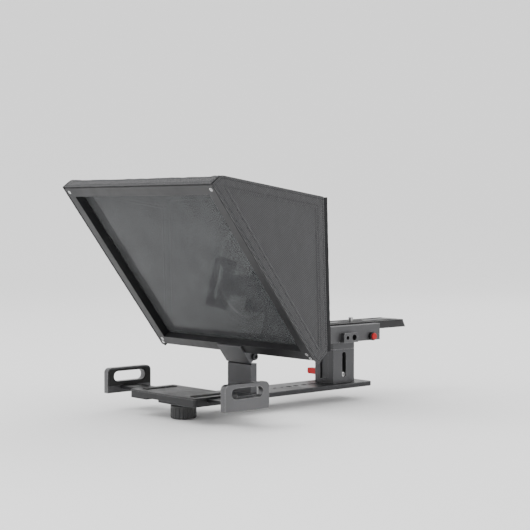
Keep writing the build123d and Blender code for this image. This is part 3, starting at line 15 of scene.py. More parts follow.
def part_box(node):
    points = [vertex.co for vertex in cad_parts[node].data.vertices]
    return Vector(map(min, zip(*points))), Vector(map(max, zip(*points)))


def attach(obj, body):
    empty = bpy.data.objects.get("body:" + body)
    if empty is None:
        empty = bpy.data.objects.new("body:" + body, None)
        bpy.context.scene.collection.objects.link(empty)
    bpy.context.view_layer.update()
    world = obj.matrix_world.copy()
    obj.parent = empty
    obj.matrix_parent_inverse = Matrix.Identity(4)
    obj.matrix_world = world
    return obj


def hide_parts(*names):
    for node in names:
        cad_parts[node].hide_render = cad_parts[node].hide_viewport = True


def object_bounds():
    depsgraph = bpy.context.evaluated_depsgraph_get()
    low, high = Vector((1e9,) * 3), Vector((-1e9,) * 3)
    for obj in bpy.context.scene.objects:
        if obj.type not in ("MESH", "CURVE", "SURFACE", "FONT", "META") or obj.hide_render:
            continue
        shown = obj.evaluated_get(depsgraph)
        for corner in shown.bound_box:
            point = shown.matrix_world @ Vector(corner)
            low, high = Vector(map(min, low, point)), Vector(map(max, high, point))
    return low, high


bl_info = {
    "name": "Teleprompter",
    "version": (1, 0, 0),
    "blender": (4, 5, 0),
    "location": "3D View > Sidebar > Teleprompter",
    "description": "Builds the cloth hood, the finishes and the stage of a tablet teleprompter",
    "category": "Object",
}

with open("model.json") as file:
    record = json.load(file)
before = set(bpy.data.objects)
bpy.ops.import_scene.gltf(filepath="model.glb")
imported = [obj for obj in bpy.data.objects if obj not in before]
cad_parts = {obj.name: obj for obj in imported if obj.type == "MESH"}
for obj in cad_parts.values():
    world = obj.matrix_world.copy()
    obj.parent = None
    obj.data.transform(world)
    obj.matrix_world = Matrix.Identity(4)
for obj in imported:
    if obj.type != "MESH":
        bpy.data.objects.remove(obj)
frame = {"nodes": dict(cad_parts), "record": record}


def plain_bounds():
    """The shown model's box as two plain lists."""
    low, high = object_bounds()
    return [list(low), list(high)]


CAD_BOX = plain_bounds()

# ---------------------------------------------------------------- the stage
FLOOR_GAP = 0.0005
FLOOR_INNER = 1.2
FLOOR_FLAT = 2.6
FLOOR_BEND = 2.2
FLOOR_SIDES = 96
LIGHTS = (("key", (-0.5, -2.0, 1.7), 1.5), ("fill", (2.2, 0.6, 1.0), 1.4), ("back", (-0.6, 1.8, 1.9), 1.6))
LOOK_AT = (0.0, -0.0524, 0.1616)
SENSOR_WIDTH = 36.0
CLIP_START = 0.05

# ---------------------------------------------------------------- the finishes
DUST_COLOUR = (0.30, 0.29, 0.27, 1.0)
METAL_BUMP = 0.00002
GLASS_INDEX = 1.13

# ---------------------------------------------------------------- the cloth
HEM_STEP = 0.0012
HEM_FADE = 0.006
EDGE_DIP = 0.35
ROW_INSET = 0.0020
GROOVE_DEPTH = 0.00045
GROOVE_WIDTH = 0.0008
BELLY_REACH = 0.035
STITCH_STEP = 0.0015
STITCH_LIFT = 0.00012
ROUND_STEPS = 240
CORD_STEPS = 360
BACK_STEPS = 168
BACK_RINGS = 26
BACK_EASE = 0.3
SIDE_GRID = (150, 180)
TOP_GRID = (170, 130)
FLAP_GRID = (60, 14)
FOLD_ROUND = 0.0030
FOLD_EASE = 0.0006
TOP_SAG = 0.0022
TOP_TUCK = 0.0012
TOP_FULLNESS = -0.0004
PIPING_RADIUS = 0.0011
PIPING_OUT = 0.0006
PIPING_SINK = 0.0002
PIPING_STEPS = 60
BACK_SINK = 0.0006
BACK_LAP = 0.0008
BACK_FULLNESS = 0.0007
RING_LAP = 0.006
FLAP_HEM = 0.0075
FLAP_FULLNESS = 0.0004
FLAP_LIFT = 0.0004
FLAP_RELIEF = 0.6
FLAP_STITCH_LIFT = 0.0001
SLEEVE_THICK = 0.0009
SLEEVE_LAP = 0.0055
SLEEVE_BODY = 0.86
SLEEVE_CASING = 0.0020
SLEEVE_SEAM = 0.035
SEAM_LIFT = 0.0008
SEAM_ANGLE = radians(312)
SEAM_RIDGE = 0.0007
SEAM_WIDTH = 0.035
CASING_TURN = 1.35
SLEEVE_SLACK = 0.0009
SLEEVE_ROWS = 88
SLEEVE_COLUMNS = 408
# Radius as a share of half the toggle's width, and height as a share of its length
TOGGLE_SHAPE = (
    (0.55, 0.0), (0.62, 0.02), (0.62, 0.24), (0.66, 0.26), (0.92, 0.27), (1.0, 0.32), (1.0, 0.52),
    (0.90, 0.56), (0.90, 0.62), (1.0, 0.66), (1.0, 0.92), (0.92, 0.98), (0.80, 1.0))
TOGGLE_SIDES = 40


# ---------------------------------------------------------------- what a user would change
def colour(label, note, value):
    return FloatVectorProperty(
        name=label, description=note, default=value, subtype="COLOR", size=3, min=0, max=1)


def length(label, note, value):
    return FloatProperty(name=label, description=note, default=value, min=0, unit="LENGTH", precision=5)


def power(label, note, value):
    return FloatProperty(name=label, description=note, default=value, min=0, unit="POWER")


def angle(label, note, value):
    return FloatProperty(name=label, description=note, default=value, subtype="ANGLE", unit="ROTATION")


def count_of(label, note, value, least):
    return IntProperty(name=label, description=note, default=value, min=least)


class TeleprompterColours(bpy.types.PropertyGroup):
    base: colour("Base plate", "Dark anodised base plate", (0.024, 0.024, 0.026))
    post: colour("Post and riser", "Mid-grey anodised hinge post, bracket and riser", (0.068, 0.068, 0.071))
    frame_paint: colour("Mirror frame", "Matt paint on the mirror frame", (0.008, 0.008, 0.009))
    platform: colour("Camera platform", "Grey blasted platform", (0.078, 0.078, 0.081))
    clamp: colour("Clamp plates", "Satin grey clamp plates", (0.098, 0.098, 0.101))
    holder: colour("Tablet holder", "Black anodised tablet holder", (0.012, 0.012, 0.013))
    red: colour("Red parts", "Red anodised levers and button", (0.36, 0.008, 0.010))
    hood: colour("Hood cloth", "Charcoal twill of the hood", (0.048, 0.048, 0.050))
    black_cloth: colour("Black cloth", "Hood back, lining, binding and lens sleeve", (0.010, 0.010, 0.011))
    thread: colour("Sewing thread", "Thread of the hems", (0.030, 0.030, 0.032))


class TeleprompterCloth(bpy.types.PropertyGroup):
    thick: length("Cloth thickness", "Thickness of the hood's twill", 0.0011)
    hem: length("Hem width", "Width of the double-stitched hem", 0.013)
    hem_rise: length("Hem rise", "How far the folded hem stands up", 0.00085)
    fullness: length("Fullness", "How far the cloth bellies out between its hems", 0.0012)
    wrinkle: length("Wrinkles", "Depth of the small wrinkles", 0.00040)
    pucker: length("Pucker", "Depth of the puckers the stitching pulls into the hem", 0.00042)
    row_outer: length("Outer stitch row", "Outer row of stitches from the edge", 0.0026)
    row_inner: length("Inner stitch row", "Inner row of stitches from the edge", 0.0108)
    stitch: length("Stitch length", "Length of one stitch", 0.0030)
    pitch: length("Stitch pitch", "From one stitch to the next", 0.0040)
    thread: length("Thread radius", "Radius of the sewing thread", 0.00034)
    binding: length("Binding width", "Width of the tape round the hood's back", 0.0070)


class TeleprompterSleeve(bpy.types.PropertyGroup):
    folds: count_of("Gathers", "Gathered folds at the sleeve's drawn-in end", 34, 8)
    fold_depth: length("Gather depth", "Depth of a fold at the drawn-in end", 0.0016)
    creases: count_of("Creases", "Creases round the sleeve near its rim", 4, 0)
    crease_depth: length("Crease depth", "Depth of those creases", 0.0009)


class TeleprompterStage(bpy.types.PropertyGroup):
    floor: colour("Floor", "Pale studio floor", (0.86, 0.86, 0.86))
    key: power("Key light", "Power of the large soft light", 44.0)
    fill: power("Fill light", "Power of the light on the other side", 12.0)
    back: power("Back light", "Power of the light behind and above", 20.0)
    sky: FloatProperty(name="Sky", description="Strength of the even light all round", default=1.55, min=0)
    lens: FloatProperty(
        name="Lens", description="Focal length of the camera", default=94.2, min=10, unit="CAMERA")
    distance: length("Camera distance", "From the camera to the point it looks at", 1.7311)
    azimuth: angle("Azimuth", "Camera's turn round the object", radians(48.5))
    elevation: angle("Elevation", "Camera's height angle", radians(2.2))


# ---------------------------------------------------------------- shader groups
def new_group(name, inputs, outputs):
    """Empty shader group with its sockets, and its input and output nodes."""
    tree = bpy.data.node_groups.new(name, "ShaderNodeTree")
    for label, kind, value in inputs:
        socket = tree.interface.new_socket(label, in_out="INPUT", socket_type=kind)
        socket.default_value = value
    for label, kind in outputs:
        tree.interface.new_socket(label, in_out="OUTPUT", socket_type=kind)
    return tree, tree.nodes.new("NodeGroupInput"), tree.nodes.new("NodeGroupOutput")


def feed(tree, socket, value):
    """Link a socket, or set a number, into a socket."""
    if isinstance(value, bpy.types.NodeSocket):
        tree.links.new(value, socket)
    else:
        socket.default_value = value


def maths(tree, operation, *values):
    node = tree.nodes.new("ShaderNodeMath")
    node.operation = operation
    for socket, value in zip(node.inputs, values):
        feed(tree, socket, value)
    return node.outputs[0]


def times(tree, first, second):
    return maths(tree, "MULTIPLY", first, second)


def plus(tree, first, second):
    return maths(tree, "ADD", first, second)


def minus(tree, first, second):
    return maths(tree, "SUBTRACT", first, second)


def noise_of(tree, vector, scale, detail=3.0, roughness=0.5):
    node = tree.nodes.new("ShaderNodeTexNoise")
    feed(tree, node.inputs["Vector"], vector)
    feed(tree, node.inputs["Scale"], scale)
    node.inputs["Detail"].default_value = detail
    node.inputs["Roughness"].default_value = roughness
    return node.outputs["Fac"]


def span(tree, value, low, high, out_low, out_high):
    """Value carried smoothly from one range to another."""
    node = tree.nodes.new("ShaderNodeMapRange")
    node.interpolation_type = "SMOOTHSTEP"
    for socket, item in zip(node.inputs, (value, low, high, out_low, out_high)):
        feed(tree, socket, item)
    return node.outputs[0]


def scaled(tree, vector, factors):
    """Vector multiplied axis by axis."""
    node = tree.nodes.new("ShaderNodeVectorMath")
    node.operation = "MULTIPLY"
    feed(tree, node.inputs[0], vector)
    node.inputs[1].default_value = factors
    return node.outputs[0]


def tinted(tree, colour_socket, factor):
    """Colour made lighter or darker by a factor."""
    node = tree.nodes.new("ShaderNodeVectorMath")
    node.operation = "SCALE"
    feed(tree, node.inputs[0], colour_socket)
    feed(tree, node.inputs["Scale"], factor)
    return node.outputs[0]


def mixed(tree, factor, first, second):
    node = tree.nodes.new("ShaderNodeMix")
    node.data_type = "RGBA"
    for label, value in (("Factor", factor), ("A", first), ("B", second)):
        feed(tree, node.inputs[label], value)
    return node.outputs["Result"]


def apart(tree, vector):
    """The X, Y and Z of a vector."""
    node = tree.nodes.new("ShaderNodeSeparateXYZ")
    tree.links.new(vector, node.inputs[0])
    return node.outputs


def swung(tree, value, amount):
    """A noise value turned into a swing of that amount about nought."""
    return times(tree, minus(tree, value, 0.5), amount)


def give(tree, out, *sockets):
    """Colour, roughness and height handed out of a group."""
    for label, socket in zip(("Colour", "Roughness", "Height"), sockets):
        tree.links.new(socket, out.inputs[label])


SKIN_OUTPUTS = [
    ("Colour", "NodeSocketColor"), ("Roughness", "NodeSocketFloat"), ("Height", "NodeSocketFloat")]


def metal_skin_group():
    """Brushed or blasted metal: grain along one axis, smudges, fine scratches and lighter edges, which are
    rubbed wear on most parts and a painted highlight on the mirror frame.
    """
    tree, source, out = new_group(
        "metal_skin",
        [("Vector", "NodeSocketVector", (0, 0, 0)), ("Colour", "NodeSocketColor", (0.5, 0.5, 0.5, 1)),
         ("Edge Colour", "NodeSocketColor", (0.6, 0.6, 0.6, 1)), ("Roughness", "NodeSocketFloat", 0.4),
         ("Grain", "NodeSocketFloat", 0.5), ("Wear", "NodeSocketFloat", 0.5)],
        SKIN_OUTPUTS)
    vector = source.outputs["Vector"]
    grain = noise_of(tree, scaled(tree, vector, (1.0, 0.06, 1.0)), 2600.0, 2.0, 0.6)
    speckle = noise_of(tree, vector, 1500.0, 3.0, 0.7)
    smudge = noise_of(tree, vector, 22.0, 5.0, 0.62)
    scratch = noise_of(tree, scaled(tree, vector, (0.5, 1.0, 2.4)), 160.0, 6.0, 0.75)
    bevel = tree.nodes.new("ShaderNodeBevel")
    bevel.samples = 4
    bevel.inputs["Radius"].default_value = 0.0011
    facing = tree.nodes.new("ShaderNodeNewGeometry")
    dot = tree.nodes.new("ShaderNodeVectorMath")
    dot.operation = "DOT_PRODUCT"
    tree.links.new(bevel.outputs[0], dot.inputs[0])
    tree.links.new(facing.outputs["True Normal"], dot.inputs[1])
    # Edge mask: it lightens edges with the edge colour, as rubbed wear on most metals and as a painted
    # highlight along the mirror frame's bevels.
    corner = span(tree, dot.outputs["Value"], 0.985, 0.80, 0.0, 1.0)
    patchy = span(tree, scratch, 0.36, 0.66, 0.25, 1.0)
    edge = times(tree, times(tree, corner, patchy), source.outputs["Wear"])
    shade = plus(tree, span(tree, smudge, 0.3, 0.7, 0.90, 1.08), swung(tree, speckle, 0.18))
    tone = tinted(tree, source.outputs["Colour"], shade)
    rough = plus(tree, source.outputs["Roughness"], span(tree, smudge, 0.35, 0.7, -0.05, 0.08))
    rough = plus(tree, rough, swung(tree, scratch, 0.12))
    rough = minus(tree, rough, times(tree, edge, 0.12))
    relief = plus(tree, times(tree, grain, 0.6), speckle)
    give(tree, out, mixed(tree, edge, tone, source.outputs["Edge Colour"]), rough,
         times(tree, relief, source.outputs["Grain"]))


def twill_group():
    """Woven twill: slanting ribs, crossing threads, slubs and a slow change of shade."""
    tree, source, out = new_group(
        "twill_weave",
        [("Vector", "NodeSocketVector", (0, 0, 0)), ("Colour", "NodeSocketColor", (0.1, 0.1, 0.1, 1)),
         ("Rib", "NodeSocketFloat", 0.0022), ("Contrast", "NodeSocketFloat", 0.3)],
        SKIN_OUTPUTS)
    place = apart(tree, source.outputs["Vector"])
    wander = swung(tree, noise_of(tree, source.outputs["Vector"], 60.0), 0.0006)
    across, along_y = place["X"], plus(tree, place["Y"], wander)
    turns = maths(tree, "DIVIDE", 2 * pi, source.outputs["Rib"])
    rib = maths(tree, "SINE", times(tree, plus(tree, across, along_y), turns))
    fine_turns = times(tree, turns, 2.0)
    cross = maths(tree, "SINE", times(tree, minus(tree, across, along_y), fine_turns))
    slub = noise_of(tree, source.outputs["Vector"], 900.0, 4.0, 0.7)
    slow = noise_of(tree, source.outputs["Vector"], 14.0, 4.0, 0.6)
    height = plus(tree, times(tree, rib, 0.5), times(tree, cross, 0.22))
    height = plus(tree, height, times(tree, slub, 0.5))
    swing = times(tree, plus(tree, rib, minus(tree, slub, 0.5)),
                  source.outputs["Contrast"])
    shade = plus(tree, plus(tree, swing, 1.0), span(tree, slow, 0.25, 0.75, -0.10, 0.10))
    tone = tinted(tree, source.outputs["Colour"], shade)
    give(tree, out, tone, span(tree, slow, 0.3, 0.7, 0.82, 0.94), height)


def moulded_group():
    """Moulded or painted skin: fine orange-peel grain, dust and uneven roughness."""
    tree, source, out = new_group(
        "moulded_skin",
        [("Vector", "NodeSocketVector", (0, 0, 0)), ("Colour", "NodeSocketColor", (0.05, 0.05, 0.05, 1)),
         ("Roughness", "NodeSocketFloat", 0.5), ("Scale", "NodeSocketFloat", 900.0),
         ("Dust", "NodeSocketFloat", 0.3)],
        SKIN_OUTPUTS)
    grain = noise_of(tree, source.outputs["Vector"], source.outputs["Scale"], 3.0, 0.6)
    slow = noise_of(tree, source.outputs["Vector"], 26.0, 5.0, 0.6)
    facing = tree.nodes.new("ShaderNodeNewGeometry")
    level = maths(tree, "MAXIMUM", apart(tree, facing.outputs["True Normal"])["Z"], 0.0)
    upward = times(tree, level, source.outputs["Dust"])
    dust = times(tree, upward, span(tree, slow, 0.35, 0.75, 0.0, 1.0))
    tone = tinted(tree, source.outputs["Colour"], span(tree, slow, 0.25, 0.75, 0.88, 1.12))
    rough = plus(tree, source.outputs["Roughness"], span(tree, slow, 0.3, 0.7, -0.06, 0.08))
    give(tree, out, mixed(tree, times(tree, dust, 0.25), tone, DUST_COLOUR),
         plus(tree, rough, swung(tree, grain, 0.15)), grain)


# ---------------------------------------------------------------- materials
def new_material(name):
    material = bpy.data.materials.new(name)
    material.use_nodes = True
    tree = material.node_tree
    return material, tree, tree.nodes["Principled BSDF"]


def placed_group(tree, name, coordinates, values):
    """The shared group in this material, with its own values."""
    node = tree.nodes.new("ShaderNodeGroup")
    node.node_tree = bpy.data.node_groups[name]
    texture = tree.nodes.new("ShaderNodeTexCoord")
    tree.links.new(texture.outputs[coordinates], node.inputs["Vector"])
    for label, value in values.items():
        node.inputs[label].default_value = value
    return node


def bumped(tree, shader, height, depth):
    """Height carried into the shader's normal as a bump of that depth in metres."""
    bump = tree.nodes.new("ShaderNodeBump")
    bump.inputs["Strength"].default_value = 1.0
    bump.inputs["Distance"].default_value = depth
    tree.links.new(height, bump.inputs["Height"])
    tree.links.new(bump.outputs[0], shader.inputs["Normal"])


def skinned(name, group, coordinates, depth, values):
    """Material whose colour, roughness and bump come from a shared group, and its shader."""
    material, tree, shader = new_material(name)
    skin = placed_group(tree, group, coordinates, values)
    tree.links.new(skin.outputs["Colour"], shader.inputs["Base Color"])
    tree.links.new(skin.outputs["Roughness"], shader.inputs["Roughness"])
    bumped(tree, shader, skin.outputs["Height"], depth)
    return material, shader


def metal(name, base, roughness, metallic, grain, wear_and_highlight, edge=(0.42, 0.42, 0.43)):
    material, shader = skinned(name, "metal_skin", "Object", METAL_BUMP, {
        "Colour": (*base, 1.0), "Edge Colour": (*edge, 1.0), "Roughness": roughness, "Grain": grain,
        "Wear": wear_and_highlight})
    shader.inputs["Metallic"].default_value = metallic
    return material


def moulded(name, base, roughness, scale, dust, depth, specular=0.5):
    material, shader = skinned(name, "moulded_skin", "Object", depth, {
        "Colour": (*base, 1.0), "Roughness": roughness, "Scale": scale, "Dust": dust})
    shader.inputs["Specular IOR Level"].default_value = specular
    return material


def woven(name, base, rib, contrast, coordinates="UV", depth=0.00022, sheen=0.16):
    material, shader = skinned(name, "twill_weave", coordinates, depth, {
        "Colour": (*base, 1.0), "Rib": rib, "Contrast": contrast})
    shader.inputs["Specular IOR Level"].default_value = 0.25
    shader.inputs["Sheen Weight"].default_value = sheen
    shader.inputs["Sheen Roughness"].default_value = 0.45
    return material


def coated_glass():
    """Beam-splitter glass: a clear sheet whose coating throws back part of the light."""
    material, tree, shader = new_material("beam_splitter_coating")
    skin = placed_group(tree, "moulded_skin", "Object", {
        "Colour": (0.42, 0.43, 0.44, 1.0), "Roughness": 0.03, "Scale": 40.0, "Dust": 0.15})
    tree.links.new(skin.outputs["Colour"], shader.inputs["Base Color"])
    shader.inputs["Roughness"].default_value = 0.02
    shader.inputs["IOR"].default_value = GLASS_INDEX
    shader.inputs["Transmission Weight"].default_value = 0.9
    return material


# ---------------------------------------------------------------- outlines on the cloth
def side_corners():
    """Corners of the hood's side in Y and Z: front high, top front, top back, back low, lowest, front low."""
    points = outline_of("hood_right_panel")
    middle_y = sum(p[0] for p in points) / len(points)
    middle_z = sum(p[1] for p in points) / len(points)
    ring = sorted(points, key=lambda p: -atan2(p[1] - middle_z, p[0] - middle_y))
    first = ring.index(min(ring))
    return ring[first:] + ring[:first]


def between(start, end, share):
    return tuple(a + (b - a) * share for a, b in zip(start, end))


def segment_distance(point, start, end):
    """Distance of a flat point from a straight edge."""
    dx, dy = end[0] - start[0], end[1] - start[1]
    share = ((point[0] - start[0]) * dx + (point[1] - start[1]) * dy) / (dx * dx + dy * dy)
    share = max(0.0, min(1.0, share))
    return hypot(point[0] - start[0] - share * dx, point[1] - start[1] - share * dy)


def edges_of(corners):
    return list(zip(corners, corners[1:] + corners[:1]))


def smooth(value, low, high):
    """0 before low, 1 after high, and a smooth turn between."""
    share = max(0.0, min(1.0, (value - low) / (high - low)))
    return share * share * (3 - 2 * share)


def turns_of(count, closing=0):
    """Angles of that many even steps round a circle, with the first one again if closing is 1."""
    return [2 * pi * k / count for k in range(count + closing)]


def direction(start, end):
    """Unit run from one flat point to another, and how far apart they are."""
    size = hypot(end[0] - start[0], end[1] - start[1])
    return ((end[0] - start[0]) / size, (end[1] - start[1]) / size), size


def on_ring(radius, turn, y, z):
    """Point in space on a ring round the lens."""
    return Vector((radius * cos(turn), y, z + radius * sin(turn)))


def on_slope(x, start, run, reach, out, lift):
    """Point in space at X, a reach up a slope in Y and Z, lifted off it."""
    return Vector((x, start[0] + run[0] * reach + out[0] * lift, start[1] + run[1] * reach + out[1] * lift))


def rectangle(low_x, high_x, reach):
    return [(low_x, 0.0), (high_x, 0.0), (high_x, reach), (low_x, reach)]


def outline_of(node):
    """The node's corners in Y and Z."""
    return {(round(v.co.y, 5), round(v.co.z, 5)) for v in frame["nodes"][node].data.vertices}


class Panel:
    """One flat-cut panel: its outline, an optional round opening, and where a point of it lies in space."""

    def __init__(self, corners, place, sizes, hem, seed, fullness, opening=None):
        self.corners, self.place, self.sizes, self.hem = corners, place, sizes, hem
        self.seed, self.fullness, self.opening = seed, fullness, opening

    def edge_distance(self, point):
        near = min(segment_distance(point, a, b) for a, b in edges_of(self.corners))
        if self.opening:
            across, up, radius = self.opening
            near = min(near, abs(hypot(point[0] - across, point[1] - up) - radius))
        return near

    def height(self, point):
        """How far the cloth stands out at a point: hem, stitch rows, fullness and wrinkles."""
        sizes, near = self.sizes, self.edge_distance(point)
        inside = smooth(near, self.hem, self.hem + HEM_STEP)
        rise = sizes.hem_rise * (1 - inside)
        rise -= EDGE_DIP * sizes.hem_rise * (1 - smooth(near, 0.0, HEM_STEP))
        spot = Vector((point[0] * 90, point[1] * 90, self.seed))
        pucker = noise.noise(spot * 2.8)
        for row in (sizes.row_outer, min(sizes.row_inner, self.hem - ROW_INSET)):
            rise -= GROOVE_DEPTH * (0.8 + 0.5 * pucker) * exp(-((near - row) / GROOVE_WIDTH) ** 2)
        rise += sizes.pucker * pucker * (1 - smooth(near, self.hem, self.hem + HEM_FADE))
        belly = 1 - exp(-max(0.0, near - self.hem) / BELLY_REACH)
        slow = noise.noise(Vector((point[0] * 16, point[1] * 16, self.seed + 5)))
        fine = noise.noise(spot * 0.55) + 0.5 * noise.noise(spot * 1.3)
        rise += self.fullness * belly * (1 + 0.35 * slow)
        return rise + sizes.wrinkle * fine * (0.30 + 0.70 * inside)

    def at(self, point, lift=0.0):
        return self.place(point, self.height(point) + lift)

    def rows(self):
        """Points of each stitch row, a run of points for each stretch."""
        for distance in (self.sizes.row_outer, min(self.sizes.row_inner, self.hem - ROW_INSET)):
            for start, end in edges_of(self.corners):
                run, size = direction(start, end)
                middle = between(start, end, 0.5)
                inward = (-run[1], run[0])
                probe = (middle[0] + inward[0] * 0.001, middle[1] + inward[1] * 0.001)
                if not self.holds(probe):
                    inward = (run[1], -run[0])
                count = int(size / STITCH_STEP)
                points = [tuple(start[k] + run[k] * STITCH_STEP * i + inward[k] * distance for k in range(2))
                          for i in range(count)]
                points = [p for p in points if self.holds(p) and self.edge_distance(p) > distance - 0.0001]
                if len(points) > 3:
                    yield points
            if self.opening:
                across, up, radius = self.opening
                reach = radius + distance
                yield [(across + reach * cos(t), up + reach * sin(t)) for t in turns_of(ROUND_STEPS, 1)]

    def holds(self, point):
        """Whether a flat point lies on the panel."""
        signs = [(b[0] - a[0]) * (point[1] - a[1]) - (b[1] - a[1]) * (point[0] - a[0])
                 for a, b in edges_of(self.corners)]
        return all(s > 0 for s in signs) or all(s < 0 for s in signs)


# ---------------------------------------------------------------- meshes
def added(name, data):
    """New object of that data, in the scene."""
    piece = bpy.data.objects.new(name, data)
    bpy.context.scene.collection.objects.link(piece)
    return piece


def mesh_object(name, vertices, faces, outward=None):
    """Mesh of those points and faces, turned so that its faces look outwards."""
    mesh = bpy.data.meshes.new(name)
    mesh.from_pydata([tuple(v) for v in vertices], [], faces)
    if outward is not None:
        turned = sum(mesh.polygons[i].normal.dot(outward(mesh.polygons[i].center))
                     for i in range(0, len(faces), max(1, len(faces) // 40)))
        if turned < 0:
            mesh.flip_normals()
    for polygon in mesh.polygons:
        polygon.use_smooth = True
    return added(name, mesh)


def grid_faces(rows, columns, closed=False):
    """Quads between rows of points; closed joins each row's end to its start."""
    reach = columns if closed else columns - 1
    return [(r * columns + c, r * columns + (c + 1) % columns, (r + 1) * columns + (c + 1) % columns,
             (r + 1) * columns + c) for r in range(rows - 1) for c in range(reach)]


def end_caps(rings, sides):
    """The faces that shut the first and the last ring of points."""
    return [tuple(range(sides))[::-1], tuple(range((rings - 1) * sides, rings * sides))]


def write_uv(piece, flat_points):
    """Cloth coordinates in metres, for the weave."""
    layer = piece.data.uv_layers.new(name="cloth")
    for loop in piece.data.loops:
        layer.data[loop.index].uv = flat_points[loop.vertex_index]


def thickened(piece, thick, lining=None):
    """Give the sheet its wall, inwards from its outer face, with the lining on the inner face."""
    if lining:
        piece.data.materials.append(lining)
    wall = piece.modifiers.new("wall", "SOLIDIFY")
    wall.thickness = thick
    wall.offset = -1.0
    wall.use_even_offset = True
    if lining:
        wall.material_offset = 1
        wall.material_offset_rim = 0
    return piece


def panel_object(name, panel, grid, facing, cloth, thick, closed=False):
    """The panel's sheet from a grid of flat points."""
    flat = [point for row in grid for point in row]
    vertices = [panel.at(point) for point in flat]
    faces = grid_faces(len(grid), len(grid[0]), closed)
    piece = mesh_object(name, vertices, faces, lambda centre: Vector(facing))
    write_uv(piece, flat)
    piece.data.materials.append(bpy.data.materials[cloth])
    return thickened(piece, thick, bpy.data.materials["black_twill"])


def rectangle_grid(corners, columns, rows):
    low_left, low_right, high_right, high_left = corners
    return patch_grid([low_left, high_left], [low_right, high_right], [low_left, low_right],
                      [high_left, high_right], columns, rows)


def eased(count, near_edge=0.55):
    """Shares from 0 to 1, closer together towards both ends."""
    return [t * (1 - near_edge) + near_edge * (t - sin(2 * pi * t) / (2 * pi))
            for t in (i / count for i in range(count + 1))]


def along(points, share):
    """Point at a share of the way along a run of points."""
    sizes = [hypot(b[0] - a[0], b[1] - a[1]) for a, b in zip(points, points[1:])]
    left = share * sum(sizes)
    for (start, end), size in zip(zip(points, points[1:]), sizes):
        if left <= size + 1e-9:
            return between(start, end, left / size)
        left -= size
    return points[-1]


def patch_grid(left, right, low, high, columns, rows):
    """Grid of flat points that fills the room between four runs of points."""
    grid = []
    for t in eased(rows):
        row = []
        for s in eased(columns):
            low_p, high_p, left_p, right_p = along(low, s), along(high, s), along(left, t), along(right, t)
            point = []
            for k in range(2):
                ruled = (1 - t) * low_p[k] + t * high_p[k] + (1 - s) * left_p[k] + s * right_p[k]
                corner = ((1 - s) * (1 - t) * low[0][k] + s * (1 - t) * low[-1][k]
                          + (1 - s) * t * high[0][k] + s * t * high[-1][k])
                point.append(ruled - corner)
            row.append(tuple(point))
        grid.append(row)
    return grid


def tube(name, path, radius, material, sides=10):
    """Round tube along a run of points in space, with both ends shut."""
    count, vertices = len(path), []
    side = None
    for i, point in enumerate(path):
        before, after = path[max(0, i - 1)], path[min(count - 1, i + 1)]
        run = (Vector(after) - Vector(before)).normalized()
        side = run.orthogonal() if side is None else side - run * side.dot(run)
        side.normalize()
        other = run.cross(side)
        vertices += [Vector(point) + (side * cos(a) + other * sin(a)) * radius for a in turns_of(sides)]
    faces = grid_faces(count, sides, closed=True)
    faces += end_caps(count, sides)
    piece = mesh_object(name, vertices, faces)
    rounded = bmesh.new()
    rounded.from_mesh(piece.data)
    bmesh.ops.recalc_face_normals(rounded, faces=rounded.faces)
    rounded.to_mesh(piece.data)
    rounded.free()
    piece.data.materials.append(material)
    return piece


def finished(piece, body, nodes=()):
    """Tie a piece to its CAD body and hide the CAD nodes it stands for."""
    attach(piece, body)
    if nodes:
        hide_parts(*nodes)
    return piece


# ---------------------------------------------------------------- stitches by Geometry Nodes
def stitch_tree():
    """Rows of stitches: a rounded thread end at each step along every run of edges."""
    tree = bpy.data.node_groups.new("stitch_rows", "GeometryNodeTree")
    face = tree.interface
    face.new_socket("Geometry", in_out="INPUT", socket_type="NodeSocketGeometry")
    for label, value in (("Stitch Length", 0.003), ("Stitch Pitch", 0.004), ("Thread Radius", 0.0003),
                         ("Slant", 0.0)):
        face.new_socket(label, in_out="INPUT", socket_type="NodeSocketFloat").default_value = value
    face.new_socket("Thread", in_out="INPUT", socket_type="NodeSocketMaterial")
    face.new_socket("Geometry", in_out="OUTPUT", socket_type="NodeSocketGeometry")
    kinds = {
        "source": "NodeGroupInput", "out": "NodeGroupOutput", "curve": "GeometryNodeMeshToCurve",
        "steps": "GeometryNodeResampleCurve", "tangent": "GeometryNodeInputTangent",
        "turn": "FunctionNodeAlignRotationToVector", "tilt": "FunctionNodeRotateRotation",
        "lean": "FunctionNodeEulerToRotation", "lean_angles": "ShaderNodeCombineXYZ",
        "bead": "GeometryNodeMeshIcoSphere", "size": "ShaderNodeCombineXYZ", "half": "ShaderNodeMath",
        "copies": "GeometryNodeInstanceOnPoints", "real": "GeometryNodeRealizeInstances",
        "shade": "GeometryNodeSetShadeSmooth", "paint": "GeometryNodeSetMaterial"}
    node = {label: tree.nodes.new(kind) for label, kind in kinds.items()}
    node["steps"].mode = "LENGTH"
    node["turn"].axis = "Z"
    node["tilt"].rotation_space = "LOCAL"
    node["bead"].inputs["Radius"].default_value = 1.0
    node["bead"].inputs["Subdivisions"].default_value = 2
    node["half"].operation = "MULTIPLY"
    node["half"].inputs[1].default_value = 0.5
    for start, output, end, socket in (
            ("source", "Geometry", "curve", 0), ("curve", 0, "steps", "Curve"),
            ("source", "Stitch Pitch", "steps", "Length"), ("tangent", 0, "turn", "Vector"),
            ("turn", 0, "tilt", "Rotation"), ("source", "Slant", "lean_angles", "X"),
            ("lean_angles", 0, "lean", 0), ("lean", 0, "tilt", "Rotate By"),
            ("source", "Stitch Length", "half", 0), ("source", "Thread Radius", "size", "X"),
            ("source", "Thread Radius", "size", "Y"), ("half", 0, "size", "Z"),
            ("steps", 0, "copies", "Points"), ("bead", 0, "copies", "Instance"),
            ("tilt", 0, "copies", "Rotation"), ("size", 0, "copies", "Scale"), ("copies", 0, "real", 0),
            ("real", 0, "shade", 0), ("shade", 0, "paint", "Geometry"),
            ("source", "Thread", "paint", "Material"), ("paint", 0, "out", 0)):
        tree.links.new(node[start].outputs[output], node[end].inputs[socket])


